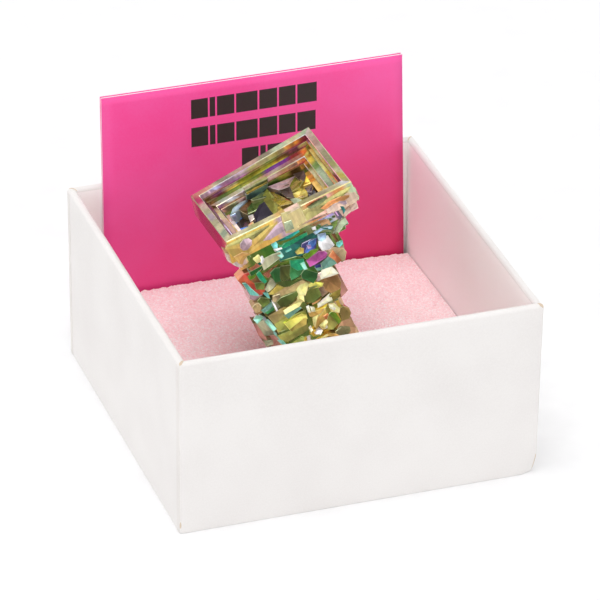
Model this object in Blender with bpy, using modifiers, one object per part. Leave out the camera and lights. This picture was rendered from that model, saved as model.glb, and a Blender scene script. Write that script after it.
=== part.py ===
"""A bismuth hopper crystal on a foam pad in a small paper-wrapped gift box, with a folded label card behind it.

Metres, +Z up. The origin is the middle of the box's underside: X runs along the front wall, Y runs from
the front wall to the back wall. The crystal is modelled in a frame of its own, tilted in the box: its X
and Y run along the sides of the hopper's rim, and its Z is 0 at the rim and falls along the stalk.
"""

import math
import random

import bmesh
import bpy
from mathutils import Euler, Matrix, Vector

MM = 0.001
GAP = 0.3 * MM  # clearance between pieces that touch

# The box: an open square tray of wrapped board
BOX_SIDE = 60 * MM
BOX_HEIGHT = 31 * MM
BOARD = 1.3 * MM
BOX_FLARE = 0.2 * MM  # how far each wall leans out at the top
BOX_ROUNDING = 0.35 * MM

# The foam pad that fills the bottom of the box
FOAM_TOP = 11.4 * MM
FOAM_ROUNDING = 0.4 * MM

# The folded card that leans on the back wall
CARD_WIDTH = 51.9 * MM
CARD_CENTRE_X = 1.4 * MM
CARD_TOP = 47.1 * MM
CARD_LEAF = 0.2 * MM
CARD_FOLD_RADIUS = 0.17 * MM  # from the fold's centre to the middle of a leaf
CARD_LEAN = math.radians(2.0)
CARD_STEPS = 8
CARD_Y = BOX_SIDE / 2 - BOARD - 1.25 * MM  # the fold's centre, at the card's foot

# The crystal: where the middle of the rim is, how the crystal leans, and its main levels
RIM_CENTRE = Vector((-5.5, 0.0, 42.6)) * MM
LEAN = Euler([math.radians(angle) for angle in (-3.6, -21.85, 0.9)])
HEAD_X, HEAD_Y, HEAD_HEIGHT = 22.0 * MM, 20.0 * MM, 3.8 * MM
ROOT_TOP, ROOT_END = 28.5 * MM, 37.4 * MM  # both measured down from the rim
CORE_LOW, CORE_HIGH = Vector((-7.2, -6.0, -30.0)) * MM, Vector((-0.6, 4.6, -7.0)) * MM  # the stalk's solid middle
EDGE = 0.22 * MM  # the small chamfer on a grown block
SEED = 27


def remove_scene_objects():
    for thing in list(bpy.data.objects):
        bpy.data.objects.remove(thing, do_unlink=True)


def new_collection(name):
    collection = bpy.data.collections.new(name)
    bpy.context.scene.collection.children.link(collection)
    return collection


def new_material(name, colour, roughness, metallic=0.0):
    material = bpy.data.materials.new(name)
    material.use_nodes = True
    shader = material.node_tree.nodes["Principled BSDF"]
    shader.inputs["Base Color"].default_value = (*colour, 1.0)
    shader.inputs["Roughness"].default_value = roughness
    shader.inputs["Metallic"].default_value = metallic
    return material


def new_object(name, mesh_builder, collection, material=None):
    mesh = bpy.data.meshes.new(name)
    mesh_builder.to_mesh(mesh)
    mesh_builder.free()
    thing = bpy.data.objects.new(name, mesh)
    collection.objects.link(thing)
    if material is not None:
        mesh.materials.append(material)
    return thing


def block_mesh(low, high, top_growth=0.0):
    """A cuboid from corner to corner, whose top face may be wider than its foot on every side."""
    builder = bmesh.new()
    size = Vector(high) - Vector(low)
    middle = (Vector(high) + Vector(low)) / 2
    bmesh.ops.create_cube(builder, size=1.0, matrix=Matrix.Translation(middle) @ Matrix.Diagonal((*size, 1.0)))
    for vertex in builder.verts:
        if vertex.co.z > middle.z:
            vertex.co.x += math.copysign(top_growth, vertex.co.x - middle.x)
            vertex.co.y += math.copysign(top_growth, vertex.co.y - middle.y)
    return builder


def chamfer(builder, width):
    bmesh.ops.bevel(
        builder, geom=list(builder.edges), offset=width, segments=1, profile=0.5, affect="EDGES", clamp_overlap=True
    )


def add_boolean(thing, operation, cutter=None, group=None):
    boolean = thing.modifiers.new(operation.lower(), "BOOLEAN")
    boolean.operation = operation
    if group is None:
        boolean.object = cutter
    else:
        boolean.operand_type = "COLLECTION"
        boolean.collection = group
    return boolean


def add_bevel(thing, width, segments):
    bevel = thing.modifiers.new("rounding", "BEVEL")
    bevel.width = width
    bevel.segments = segments
    bevel.limit_method = "ANGLE"
    bevel.angle_limit = math.radians(40)
    return bevel


def mark_as_cutter(thing):
    thing.hide_render = True
    thing.display_type = "WIRE"


# --- the box -------------------------------------------------------------------------------------------


def make_box(parts, cutters):
    half = BOX_SIDE / 2
    outer = block_mesh((-half, -half, 0), (half, half, BOX_HEIGHT), BOX_FLARE)
    box = new_object("specimen_box", outer, parts, new_material("white wrapped board", (0.88, 0.85, 0.82), 0.6))
    inner_half = half - BOARD
    depth = BOX_HEIGHT - BOARD
    inner = block_mesh((-inner_half, -inner_half, BOARD), (inner_half, inner_half, BOARD + 2 * depth), 2 * BOX_FLARE)
    hollow = new_object("box_hollow", inner, cutters)
    mark_as_cutter(hollow)
    add_boolean(box, "DIFFERENCE", hollow)
    add_bevel(box, BOX_ROUNDING, 2)
    return box


# --- the card ------------------------------------------------------------------------------------------


def make_card(parts):
    """Two leaves joined by a round fold at the foot: one open strip with Solidify, leaning back."""
    foot = BOARD + GAP + CARD_FOLD_RADIUS + CARD_LEAF / 2
    length = (CARD_TOP - foot) / math.cos(CARD_LEAN)
    profile = [(-CARD_FOLD_RADIUS, length)]
    for step in range(CARD_STEPS + 1):
        angle = math.pi * (1 + step / CARD_STEPS)
        profile.append((CARD_FOLD_RADIUS * math.cos(angle), CARD_FOLD_RADIUS * math.sin(angle)))
    profile.append((CARD_FOLD_RADIUS, length))
    builder = bmesh.new()
    rails = [[builder.verts.new((side * CARD_WIDTH / 2, y, z)) for y, z in profile] for side in (-1, 1)]
    for step in range(len(profile) - 1):
        builder.faces.new((rails[0][step], rails[1][step], rails[1][step + 1], rails[0][step + 1]))
    bmesh.ops.recalc_face_normals(builder, faces=builder.faces)
    card = new_object("label_card", builder, parts, new_material("pink card", (0.78, 0.09, 0.27), 0.45))
    card.location = (CARD_CENTRE_X, CARD_Y, foot)
    card.rotation_euler = (-CARD_LEAN, 0, 0)
    solidify = card.modifiers.new("card thickness", "SOLIDIFY")
    solidify.thickness = CARD_LEAF
    solidify.offset = 0
    return card


# --- the crystal ---------------------------------------------------------------------------------------


class Grower:
    """Adds chamfered blocks, given in millimetres in the crystal's own frame, to one collection."""

    def __init__(self, collection, rig, seed=SEED):
        self.collection = collection
        self.rig = rig
        self.random = random.Random(seed)
        self.count = 0

    def block(self, x, y, z, edge=EDGE / MM, turn=(0, 0, 0)):
        """x, y and z are (low, high) pairs; turn is a small rotation in degrees about the block's middle."""
        self.count += 1
        jitter = [self.random.uniform(-0.02, 0.02) for _ in range(6)]
        low = Vector((x[0] + jitter[0], y[0] + jitter[1], z[0] + jitter[2])) * MM
        high = Vector((x[1] + jitter[3], y[1] + jitter[4], z[1] + jitter[5])) * MM
        middle = (low + high) / 2
        builder = block_mesh(low - middle, high - middle)
        if edge > 0:
            chamfer(builder, edge * MM)
        block = new_object(f"block_{self.count:03d}", builder, self.collection)
        block.parent = self.rig
        block.location = middle
        block.rotation_euler = [math.radians(angle) for angle in turn]
        mark_as_cutter(block)
        return block

    def tier(self, x, y, z, edge=EDGE / MM):
        """A tier with stepped corners, cut deepest at the left: one block long in X, one long in Y, one between."""
        stagger = 0.2 * (z[1] - z[0])
        self.block(x, (y[0] + 2.6, y[1] - 3.8), (z[0], z[1] - stagger), edge)
        self.block((x[0] + 2.8, x[1] - 1.3), y, (z[0] + stagger, z[1]), edge)
        self.block((x[0] + 1.3, x[1] - 0.3), (y[0] + 1.1, y[1] - 2.0), (z[0] + 0.1, z[1] - 0.1), edge)


def grow_head(grower):
    half_x, half_y, height = HEAD_X / MM / 2, HEAD_Y / MM / 2, HEAD_HEIGHT / MM
    grower.block((-half_x, half_x), (-half_y, half_y), (-height, 0), 0.3)
    # plates under the rim, each a little smaller than the one above
    grower.block((-10.9, 10.4), (-9.5, 9.6), (-5.8, -height + 0.4), 0.3)
    grower.block((-11.0, -8.6), (-9.9, -4.2), (-5.5, -3.2), 0.8)
    grower.block((8.4, 11.2), (-9.2, -1.5), (-5.0, -3.3), 0.5)
    # the small bump in the middle of the front rim
    grower.block((-0.7, 2.2), (-10.25, -8.4), (-3.2, 0.05), 0.3)
    grower.block((-0.2, 1.7), (-9.9, -7.6), (-2.0, -0.35), 0.3)


def grow_stalk(grower):
    # the striped tier: thin plates that recede to the right
    for plate, (right, front) in enumerate(((8.3, -9.5), (7.8, -9.2), (8.0, -9.35), (7.4, -9.0))):
        top = -5.3 - plate * 0.75
        grower.block((-9.7, right), (front, 7.6 - 0.2 * plate), (top - 1.0, top), 0.16)
    grower.block((-7.4, 3.0), (-9.9, -6.0), (-8.6, -5.4), 0.35)
    grower.block((3.2, 7.5), (-9.7, -4.0), (-7.6, -6.3), 0.4)
    # the tiers of stepped blocks, widest first
    grower.tier((-9.6, 6.1), (-8.8, 6.9), (-12.9, -7.8), 0.45)
    grower.tier((-8.4, 3.2), (-8.3, 6.3), (-14.0, -12.2))
    grower.tier((-10.5, 3.6), (-8.9, 6.7), (-18.3, -13.4), 0.5)
    grower.tier((-9.8, 1.2), (-8.2, 6.1), (-19.8, -17.6))
    grower.tier((-11.1, 2.3), (-8.9, 6.6), (-24.6, -19.2), 0.5)
    grower.tier((-10.4, 1.5), (-8.2, 6.0), (-26.6, -24.0))
    grower.tier((-11.0, 2.6), (-8.6, 6.4), (-29.2, -26.0), 0.4)


# blocks that stand out of the tiers: (x, y, z) of the middle, size along x, y and z, and a turn in degrees
SIDE_BLOCKS = (
    # the front, from the top down
    ((-7.2, -8.2, -10.4), (4.0, 3.0, 3.6), (8, 6, 34)),
    ((-3.4, -8.9, -10.6), (3.6, 2.4, 3.8), (-12, 4, -10)),
    ((0.3, -8.8, -10.8), (3.8, 2.6, 4.2), (14, -6, 16)),
    ((4.1, -7.8, -10.0), (3.2, 3.6, 2.9), (6, 10, -28)),
    ((-9.6, -6.0, -12.0), (3.0, 2.8, 2.6), (4, 8, 10)),
    ((-9.0, -7.2, -14.6), (2.4, 2.6, 2.2), (0, 0, 8)),
    ((-5.6, -8.8, -15.4), (3.8, 2.2, 2.6), (16, 0, -6)),
    ((-1.7, -8.9, -15.8), (3.4, 2.2, 3.2), (-10, 10, 8)),
    ((1.6, -7.5, -15.7), (3.2, 3.2, 3.6), (5, -8, -32)),
    ((-9.6, -6.6, -17.6), (2.8, 2.4, 2.2), (6, 4, 24)),
    ((-5.4, -8.5, -20.4), (5.2, 2.4, 1.6), (12, -4, 3)),
    ((-4.4, -8.9, -22.6), (6.2, 2.0, 1.7), (-14, 3, -4)),
    ((-0.2, -8.0, -20.8), (2.6, 2.4, 3.0), (10, 18, -38)),
    ((0.9, -7.3, -23.2), (3.0, 2.8, 3.2), (-6, -14, -20)),
    ((-9.6, -6.4, -21.4), (3.0, 3.0, 3.2), (-4, 8, 26)),
    ((-2.0, -8.4, -26.0), (4.6, 2.4, 2.4), (8, -10, 6)),
    # the right side
    ((5.0, 1.0, -10.6), (2.4, 5.0, 2.8), (4, 6, 10)),
    ((2.4, 3.4, -15.8), (3.0, 4.2, 3.2), (-8, 4, 24)),
    ((1.4, 0.6, -21.8), (2.4, 5.4, 3.0), (6, -6, -8)),
    ((1.4, 3.6, -26.6), (3.0, 3.4, 3.2), (4, 10, 28)),
    # the left side
    ((-8.6, 0.4, -10.0), (2.6, 4.4, 2.4), (-6, 4, -10)),
    ((-9.2, 1.6, -16.4), (2.8, 3.4, 3.2), (6, -4, 18)),
    ((-10.2, 0.6, -22.6), (2.4, 5.0, 3.2), (-4, 6, 8)),
    # the back
    ((-5.2, 6.4, -10.4), (5.0, 2.2, 3.0), (6, 4, -6)),
    ((0.4, 6.2, -11.8), (4.0, 2.6, 2.4), (-8, 6, 12)),
    ((-3.6, 6.2, -16.4), (4.6, 2.4, 2.8), (8, -4, -8)),
    ((-6.0, 5.8, -21.6), (5.2, 2.4, 3.4), (-6, 4, 10)),
    ((-0.8, 5.8, -23.2), (3.6, 2.6, 2.6), (10, 4, -14)),
    ((-7.2, 5.4, -26.4), (4.2, 2.6, 2.6), (4, -6, 16)),
    # around the foot, just clear of the foam
    ((2.2, -1.2, -30.6), (2.4, 7.6, 3.0), (0, 0, 0)),
    ((-2.6, -8.0, -30.3), (5.8, 2.2, 2.2), (0, 0, 0)),
    ((-2.4, 5.9, -29.9), (5.2, 2.2, 2.0), (0, 0, 0)),
)


def grow_side_blocks(grower):
    for middle, size, turn in SIDE_BLOCKS:
        x, y, z = (((centre - length / 2), (centre + length / 2)) for centre, length in zip(middle, size))
        grower.block(x, y, z, 0.18 * min(size), turn)


def grow_root(grower, margin=0.0):
    """The buried end: a plain stepped tier, also used larger by a margin for the pocket in the foam."""
    top, end = -ROOT_TOP / MM, -ROOT_END / MM
    grower.block((-11.3 - margin, 2.3 + margin), (-6.0 - margin, 3.4 + margin), (end - margin, top), 0.0)
    grower.block((-9.2 - margin, 0.6 + margin), (-8.2 - margin, 6.0 + margin), (end + 0.9 - margin, top + 0.2), 0.0)


# the nested steps of the hopper's hollow: X from, X to, Y from, Y to, and depth under the rim
HOLLOW_STEPS = (
    (-9.8, 9.8, -8.5, 8.5, 0.9),
    (-9.4, 9.4, -8.1, 8.0, 1.5),
    (-9.0, 8.9, -7.7, 7.5, 2.1),
    (-8.2, 7.9, -6.6, 6.3, 2.9),
    (-7.8, 7.3, -6.2, 5.9, 3.7),
    (-7.1, -0.35, -5.5, 5.2, 4.4),
    (0.95, 6.6, -5.4, 5.1, 4.6),
    (-6.3, -1.3, -4.7, 4.3, 5.3),
    (1.8, 5.8, -4.4, 4.0, 5.5),
)

# small crystals that rise from the hollow's floor: middle, size and a turn in degrees
FLOOR_BLOCKS = (
    ((-5.4, 3.6, -4.6), (2.6, 2.2, 1.8), (12, -14, 20)),
    ((-2.6, 3.2, -4.9), (2.6, 2.6, 2.0), (-16, 10, 34)),
    ((-4.6, 0.2, -5.0), (2.8, 2.6, 1.8), (14, 16, -18)),
    ((-1.9, 0.0, -4.9), (2.0, 2.4, 1.6), (-10, -12, 12)),
    ((-4.0, -3.0, -5.0), (2.8, 2.4, 1.8), (10, -18, 26)),
    ((2.6, 3.0, -5.0), (2.6, 2.4, 1.8), (14, 12, -24)),
    ((4.9, 3.6, -4.7), (2.0, 2.0, 1.8), (-12, 8, 14)),
    ((3.0, 0.2, -5.3), (2.6, 2.4, 1.6), (-12, -16, 30)),
    ((5.2, 0.4, -4.8), (1.8, 2.4, 1.6), (10, 18, -8)),
    ((3.8, -2.8, -5.2), (2.8, 2.2, 1.8), (16, -8, -30)),
)


def make_crystal(parts, rig):
    grown, hollow, floor = (new_collection(name) for name in ("crystal_blocks", "crystal_hollow", "crystal_floor"))
    grower = Grower(grown, rig)
    grow_head(grower)
    grow_stalk(grower)
    grow_side_blocks(grower)
    grow_root(grower)
    carver = Grower(hollow, rig, SEED + 1)
    for x_low, x_high, y_low, y_high, depth in HOLLOW_STEPS:
        carver.block((x_low, x_high), (y_low, y_high), (-depth, 1.0), 0.0)
    seeder = Grower(floor, rig, SEED + 2)
    for middle, size, turn in FLOOR_BLOCKS:
        x, y, z = (((centre - length / 2), (centre + length / 2)) for centre, length in zip(middle, size))
        seeder.block(x, y, z, 0.16 * min(size), turn)

    core = block_mesh(CORE_LOW, CORE_HIGH)
    crystal = new_object("bismuth_crystal", core, parts, new_material("bismuth", (0.62, 0.58, 0.42), 0.16, 1.0))
    crystal.parent = rig
    add_boolean(crystal, "UNION", group=grown)
    add_boolean(crystal, "DIFFERENCE", group=hollow)
    add_boolean(crystal, "UNION", group=floor)
    return crystal


# --- the foam ------------------------------------------------------------------------------------------


def make_foam(parts, rig):
    half = BOX_SIDE / 2 - BOARD - GAP
    back_foot = CARD_Y - CARD_FOLD_RADIUS - CARD_LEAF / 2 - GAP
    back_top = back_foot + math.tan(CARD_LEAN) * (FOAM_TOP - BOARD)
    builder = block_mesh((-half, -half, BOARD + GAP), (half, back_foot, FOAM_TOP))
    for vertex in builder.verts:
        if vertex.co.z > FOAM_TOP / 2 and vertex.co.y > 0:
            vertex.co.y = back_top
    foam = new_object("foam_pad", builder, parts, new_material("pink foam", (0.86, 0.62, 0.66), 0.9))
    add_bevel(foam, FOAM_ROUNDING, 1)
    pocket = new_collection("foam_pocket")
    grow_root(Grower(pocket, rig, SEED + 3), GAP / MM)
    add_boolean(foam, "DIFFERENCE", group=pocket)
    return foam


def main():
    remove_scene_objects()
    parts = new_collection("bismuth_hopper_crystal")
    cutters = new_collection("cutters")
    rig = bpy.data.objects.new("crystal_axes", None)
    rig.location = RIM_CENTRE
    rig.rotation_euler = LEAN
    parts.objects.link(rig)
    make_box(parts, cutters)
    make_card(parts)
    make_crystal(parts, rig)
    make_foam(parts, rig)
    bpy.context.view_layer.update()


main()
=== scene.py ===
# %% [markdown]
# # A bismuth hopper crystal in its gift box
# Molten bismuth that cools slowly grows square, stepped funnels called hopper crystals: the edges of each
# face grow faster than its middle. A film of oxide then forms on the hot metal, and its thickness decides
# which colours of light cancel. This file dresses one such crystal, and the small box, foam and card that
# it is kept with, around a frame of plain solids made earlier.

# %% Load the frame
import math
import random

import bmesh
import bpy
import numpy as np
from mathutils import Euler, Matrix, Vector, noise


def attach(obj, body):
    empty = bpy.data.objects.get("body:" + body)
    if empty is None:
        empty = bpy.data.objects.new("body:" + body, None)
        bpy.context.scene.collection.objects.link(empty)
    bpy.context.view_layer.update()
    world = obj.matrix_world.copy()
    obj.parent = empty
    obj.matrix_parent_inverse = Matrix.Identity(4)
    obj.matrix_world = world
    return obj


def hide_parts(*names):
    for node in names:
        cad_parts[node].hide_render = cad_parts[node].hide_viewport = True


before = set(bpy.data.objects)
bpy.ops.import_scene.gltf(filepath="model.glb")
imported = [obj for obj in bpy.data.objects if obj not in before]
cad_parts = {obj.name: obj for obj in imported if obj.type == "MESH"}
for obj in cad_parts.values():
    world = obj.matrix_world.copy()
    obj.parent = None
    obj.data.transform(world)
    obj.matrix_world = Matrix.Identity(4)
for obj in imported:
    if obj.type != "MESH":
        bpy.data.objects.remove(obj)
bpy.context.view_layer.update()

# %% [markdown]
# Everything below is worked out in millimetres, because that is how a box maker and a crystal grower
# measure, and is turned into Blender's metres by one factor. Colours are written as sRGB hex values, as in
# a paint chart. Shaders work in linear light, so one function turns one into the other.

# %% Units and colours
MM = 0.001


def colour(hex_value):
    """An sRGB hex colour such as 'F04A90' as linear RGBA."""
    channels = [int(hex_value[i : i + 2], 16) / 255 for i in (0, 2, 4)]
    linear = [c / 12.92 if c <= 0.04045 else ((c + 0.055) / 1.055) ** 2.4 for c in channels]
    return (*linear, 1.0)


print("middle grey is", [round(part, 3) for part in colour("808080")], "in linear light")

# %% [markdown]
# A material is a small graph of nodes. One function sets or links a node's inputs, and one adds a node. An
# input may be a number, a colour, another node (which means its first output) or one of its outputs.


# %% Helpers for material graphs
def set_inputs(tree, node, **inputs):
    """Inputs are named with _ for a space, or in_0 for a place in the list."""
    for key, value in inputs.items():
        socket = node.inputs[int(key[3:]) if key.startswith("in_") else key.replace("_", " ")]
        value = value.outputs[0] if isinstance(value, bpy.types.Node) else value
        if isinstance(value, bpy.types.NodeSocket):
            tree.links.new(value, socket)
        else:
            socket.default_value = value


def add_node(tree, kind, settings=None, stops=(), **inputs):
    """A node of a kind such as 'TexNoise'. stops are the (place, hex) pairs of a colour ramp."""
    node = tree.nodes.new("ShaderNode" + kind)
    for key, value in (settings or {}).items():
        setattr(node, key, value)
    elements = node.color_ramp.elements if stops else ()
    while len(elements) < len(stops):
        elements.new(0.5)
    for element, (place, hex_value) in zip(elements, stops):
        element.position = place
        element.color = colour(hex_value)
    set_inputs(tree, node, **inputs)
    return node


def new_material(name):
    """A material with an empty graph but for the Principled shader and the output."""
    material = bpy.data.materials.new(name)
    material.use_nodes = True
    return material, material.node_tree, material.node_tree.nodes["Principled BSDF"]


def new_piece(name, builder, *materials):
    """Turns a bmesh into an object in the scene."""
    mesh = bpy.data.meshes.new(name)
    builder.to_mesh(mesh)
    builder.free()
    piece = bpy.data.objects.new(name, mesh)
    bpy.context.scene.collection.objects.link(piece)
    for material in materials:
        mesh.materials.append(material)
    return piece


# %% [markdown]
# The camera is a long lens a good way off, a little to the left of the box and above it, so that the box's
# sides stay almost parallel. It is turned a fraction of a degree, as a hand-levelled camera is.

# %% Camera
AZIMUTH, ELEVATION, ROLL = (math.radians(angle) for angle in (-19.278, 29.711, 0.686))
CAMERA_DISTANCE = 840 * MM
CAMERA_TARGET = Vector((12.03, 34.41, 0.0)) * MM
LENS, SENSOR = 296.66, 36.0  # millimetres
CLIP = 0.05, 20  # metres


def add_camera():
    flat = math.cos(ELEVATION)
    back = Vector((math.sin(AZIMUTH) * flat, -math.cos(AZIMUTH) * flat, math.sin(ELEVATION)))
    camera = bpy.data.objects.new("camera", bpy.data.cameras.new("camera"))
    bpy.context.scene.collection.objects.link(camera)
    camera.data.lens, camera.data.sensor_width = LENS, SENSOR
    camera.data.clip_start, camera.data.clip_end = CLIP
    place = Matrix.Translation(CAMERA_TARGET + back * CAMERA_DISTANCE)
    level = back.to_track_quat("Z", "Y").to_matrix().to_4x4()
    camera.matrix_world = place @ level @ Matrix.Rotation(ROLL, 4, "Z")
    bpy.context.scene.camera = camera
    return camera


camera = add_camera()
print("camera at", [round(v, 3) for v in camera.matrix_world.translation])

# %% [markdown]
# The light is a white sweep under a bright sky, with three soft boxes: a large one above, one over the
# camera's side and a weak one from the left. Bright metal shows what is round it, so the sky has a darker
# band high up. That band gives the facets their deep tones.

# %% Floor and light
FLOOR_SIZE, FLOOR_GRAIN = 6.0, 900.0  # metres, and the paper's grain per metre
SKY_STOPS = (
    (0.0, "F4F4F4"),
    (0.5, "F6F6F6"),
    (0.72, "FFFFFF"),
    (0.8, "BCBCBC"),
    (0.87, "6C6C6C"),
    (0.93, "A0A0A0"),
    (1.0, "FFFFFF"),
)
SKY_STRENGTH = 1.3
FLOOR_ROUGHNESS, FLOOR_SPECULAR = 0.9, 0.1  # matt paper
SOFT_BOXES = (  # name, place, aimed at, size (m), power (W)
    ("top_box", (-0.1, -0.1, 0.9), (0, 0, 0), 0.6, 3.2),
    ("front_box", (-0.2, -0.72, 0.7), (0, 0, 0.02), 0.45, 0.5),
    ("left_box", (-0.5, -0.1, 0.8), (0, 0, 0.02), 0.6, 0.4),
)


def add_floor():
    material, tree, shader = new_material("white paper sweep")
    grain = add_node(tree, "TexNoise", Scale=FLOOR_GRAIN, Detail=2.0)
    tint = add_node(tree, "ValToRGB", stops=((0.3, "F1F1F2"), (0.7, "F5F5F6")), Fac=grain)
    set_inputs(tree, shader, Base_Color=tint, Roughness=FLOOR_ROUGHNESS, Specular_IOR_Level=FLOOR_SPECULAR)
    builder = bmesh.new()
    bmesh.ops.create_grid(builder, x_segments=2, y_segments=2, size=FLOOR_SIZE / 2)
    floor = new_piece("floor", builder, material)


def add_lights():
    for name, place, aim, size, power in SOFT_BOXES:
        light = bpy.data.objects.new(name, bpy.data.lights.new(name, "AREA"))
        light.data.shape, light.data.size, light.data.energy = "SQUARE", size, power
        light.location = place
        light.rotation_euler = (Vector(place) - Vector(aim)).to_track_quat("Z", "Y").to_euler()
        bpy.context.scene.collection.objects.link(light)


def add_sky():
    world = bpy.data.worlds.new("sky")
    world.use_nodes = True
    tree = world.node_tree
    direction = add_node(tree, "SeparateXYZ", Vector=add_node(tree, "TexCoord").outputs["Generated"])
    height = add_node(tree, "MapRange", Value=direction.outputs["Z"], From_Min=-1.0, From_Max=1.0)
    sky = add_node(tree, "ValToRGB", stops=SKY_STOPS, Fac=height)
    set_inputs(tree, tree.nodes["Background"], Color=sky, Strength=SKY_STRENGTH)
    bpy.context.scene.world = world
    bpy.context.scene.view_settings.view_transform = "Standard"


add_floor()
add_lights()
add_sky()
print("lights:", [name for name, *_ in SOFT_BOXES])

# %% [markdown]
# ## The box
# A rigid gift box is a tray of greyboard with white paper glued over it. The paper turns in over the rim,
# so the rim is a soft round, and at each upright corner one flap folds round onto the next wall and
# leaves a thin step. The tray is lofted: one rounded square is repeated at many heights up the outside, over
# the rim and down the inside, and neighbouring squares are joined by faces. That gives the round rim and
# the walls' slight outward lean in one skin.

# %% Tray measurements
TRAY_SIDE, TRAY_HEIGHT, WALL, FLARE = 60.0, 31.0, 1.3, 0.2
CORNER_RADIUS, FOOT_RADIUS, RIM_RADIUS = 0.42, 0.12, 0.6
RIM_FOOT = TRAY_HEIGHT - RIM_RADIUS
PAPER = 0.07  # thickness of the glued paper
SIDE_STEPS, CORNER_STEPS, FOOT_STEPS, WALL_STEPS, RIM_STEPS = 30, 4, 4, 14, 6
CORNERS = ((-1, -1), (1, -1), (1, 1), (-1, 1))


def rounded_square(half, radius):
    """(X, Y) of a square with round corners, anticlockwise from the front left one."""
    points = []
    centre = half - radius
    for corner, (sx, sy) in enumerate(CORNERS):
        for step in range(CORNER_STEPS + 1):
            angle = math.radians(180 + 90 * corner + 90 * step / CORNER_STEPS)
            points.append((sx * centre + radius * math.cos(angle), sy * centre + radius * math.sin(angle)))
        start = Vector(points[-1])
        along = (Vector(CORNERS[(corner + 1) % 4]) * half - start).normalized()
        length = 2 * centre
        points += [tuple(start + along * length * step / SIDE_STEPS) for step in range(1, SIDE_STEPS)]
    return points


def outer_half(z):
    return TRAY_SIDE / 2 - PAPER + FLARE * z / TRAY_HEIGHT


RIM_MIDDLE = outer_half(RIM_FOOT) - WALL / 2
print("the rim's middle line is", round(RIM_MIDDLE, 2), "mm from the box's middle")

# %% [markdown]
# The profile is a list of half widths and heights. Small sine and cosine steps make the round at the foot
# and the half round of the rim. A few extra rings near the foot carry the front right corner, which is
# knocked in.

# %% Loft the tray
FOOT_LEVELS = (0.5, 1.1, 1.8, 2.6)
LINING_START = FOOT_STEPS + len(FOOT_LEVELS) + WALL_STEPS + RIM_STEPS - 1  # ring where the lining begins
INNER_FILLET = 0.3  # glue and paper round the corner between wall and floor
SHARPEST, SHARPENING = 0.15, 0.3  # the upright corners get sharper towards the inside, but never quite sharp
KNOCK_DEPTH, KNOCK_HEIGHT, KNOCK_REACH, KNOCK_CURVE = 0.55, 3.4, 0.9, 1.3


def corner_radius(half):
    return max(SHARPEST, CORNER_RADIUS - max(0.0, TRAY_SIDE / 2 - WALL / 2 - half) * SHARPENING)


def tray_profile():
    """(half width, corner radius, height) from the middle of the underside, over the rim, to the floor."""
    levels = []
    for angle in (math.pi / 2 * step / (FOOT_STEPS - 1) for step in range(FOOT_STEPS)):
        in_by, up_by = FOOT_RADIUS * (1 - math.sin(angle)), FOOT_RADIUS * (1 - math.cos(angle))
        levels.append((outer_half(0) - in_by, up_by))
    levels += [(outer_half(z), z) for z in (*FOOT_LEVELS, *np.linspace(4.0, RIM_FOOT, WALL_STEPS))]
    for angle in (math.pi * step / RIM_STEPS for step in range(1, RIM_STEPS)):
        levels.append((RIM_MIDDLE + WALL / 2 * math.cos(angle), RIM_FOOT + RIM_RADIUS * math.sin(angle)))
    levels += [(outer_half(z) - WALL, z) for z in np.linspace(RIM_FOOT, WALL + INNER_FILLET, WALL_STEPS)]
    levels.append((outer_half(WALL) - WALL - INNER_FILLET, WALL))
    return [(half, corner_radius(half), z) for half, z in levels]


def loft(builder, rings):
    """Joins closed rings of vertices, one after another, with four-sided faces."""
    faces = []
    for lower, upper in zip(rings, rings[1:]):
        for step in range(len(lower)):
            after = (step + 1) % len(lower)
            faces.append(builder.faces.new((lower[step], lower[after], upper[after], upper[step])))
    return faces


def outward(builder):
    """Turns every face to look outwards."""
    bmesh.ops.recalc_face_normals(builder, faces=builder.faces)
    return builder


def ripple(point, size=9.0, height=0.05):
    """How far glued paper over board stands off a true plane, in mm."""
    return height * noise.noise(Vector(point) / size)


def knock(sx, sy, z):
    """How far the front right corner is knocked in, at the foot, along each wall."""
    share = max(0.0, 1.0 - z / KNOCK_HEIGHT) ** KNOCK_CURVE
    return KNOCK_DEPTH * share if (sx, sy) == (1, -1) else 0.0


def make_tray_mesh():
    builder = bmesh.new()
    rings = []
    for half, radius, z in tray_profile():
        ring = []
        for x, y in rounded_square(half, radius):
            point = Vector((x, y, z)) - Vector((x, y, 0)).normalized() * abs(ripple((x, y, z)))
            low = len(rings) <= FOOT_STEPS + len(FOOT_LEVELS)
            if low and x > half - KNOCK_REACH and y < KNOCK_REACH - half:
                point += Vector((-1, 1, 0)) * knock(1, -1, z)
            ring.append(builder.verts.new(point * MM))
        rings.append(ring)
    for face in loft(builder, rings)[LINING_START * len(rings[0]) :]:
        face.material_index = 1
    builder.faces.new(list(reversed(rings[0])))
    builder.faces.new(rings[-1]).material_index = 1
    for face in builder.faces:
        face.smooth = True
    return outward(builder)


print("tray profile:", len(tray_profile()), "rings")

# %% [markdown]
# White wrapping paper is uncoated: matt, faintly warm, with a fibre grain well under a millimetre. The corner
# flaps have a slightly darker paper of their own.

# %% Paper and bare board
FIBRE, CLOUD = 0.28, 14.0  # mm: fibre grain, and slow changes of tone
FIBRE_RELIEF, PAPER_ROUGHNESS, PAPER_SPECULAR = 0.05, 0.72, 0.35  # uncoated, so nearly matt


def per_mm(size):
    """The scale that makes one repeat of a pattern as long as size, in mm, from coordinates in metres."""
    return 1 / (size * MM)


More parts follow.
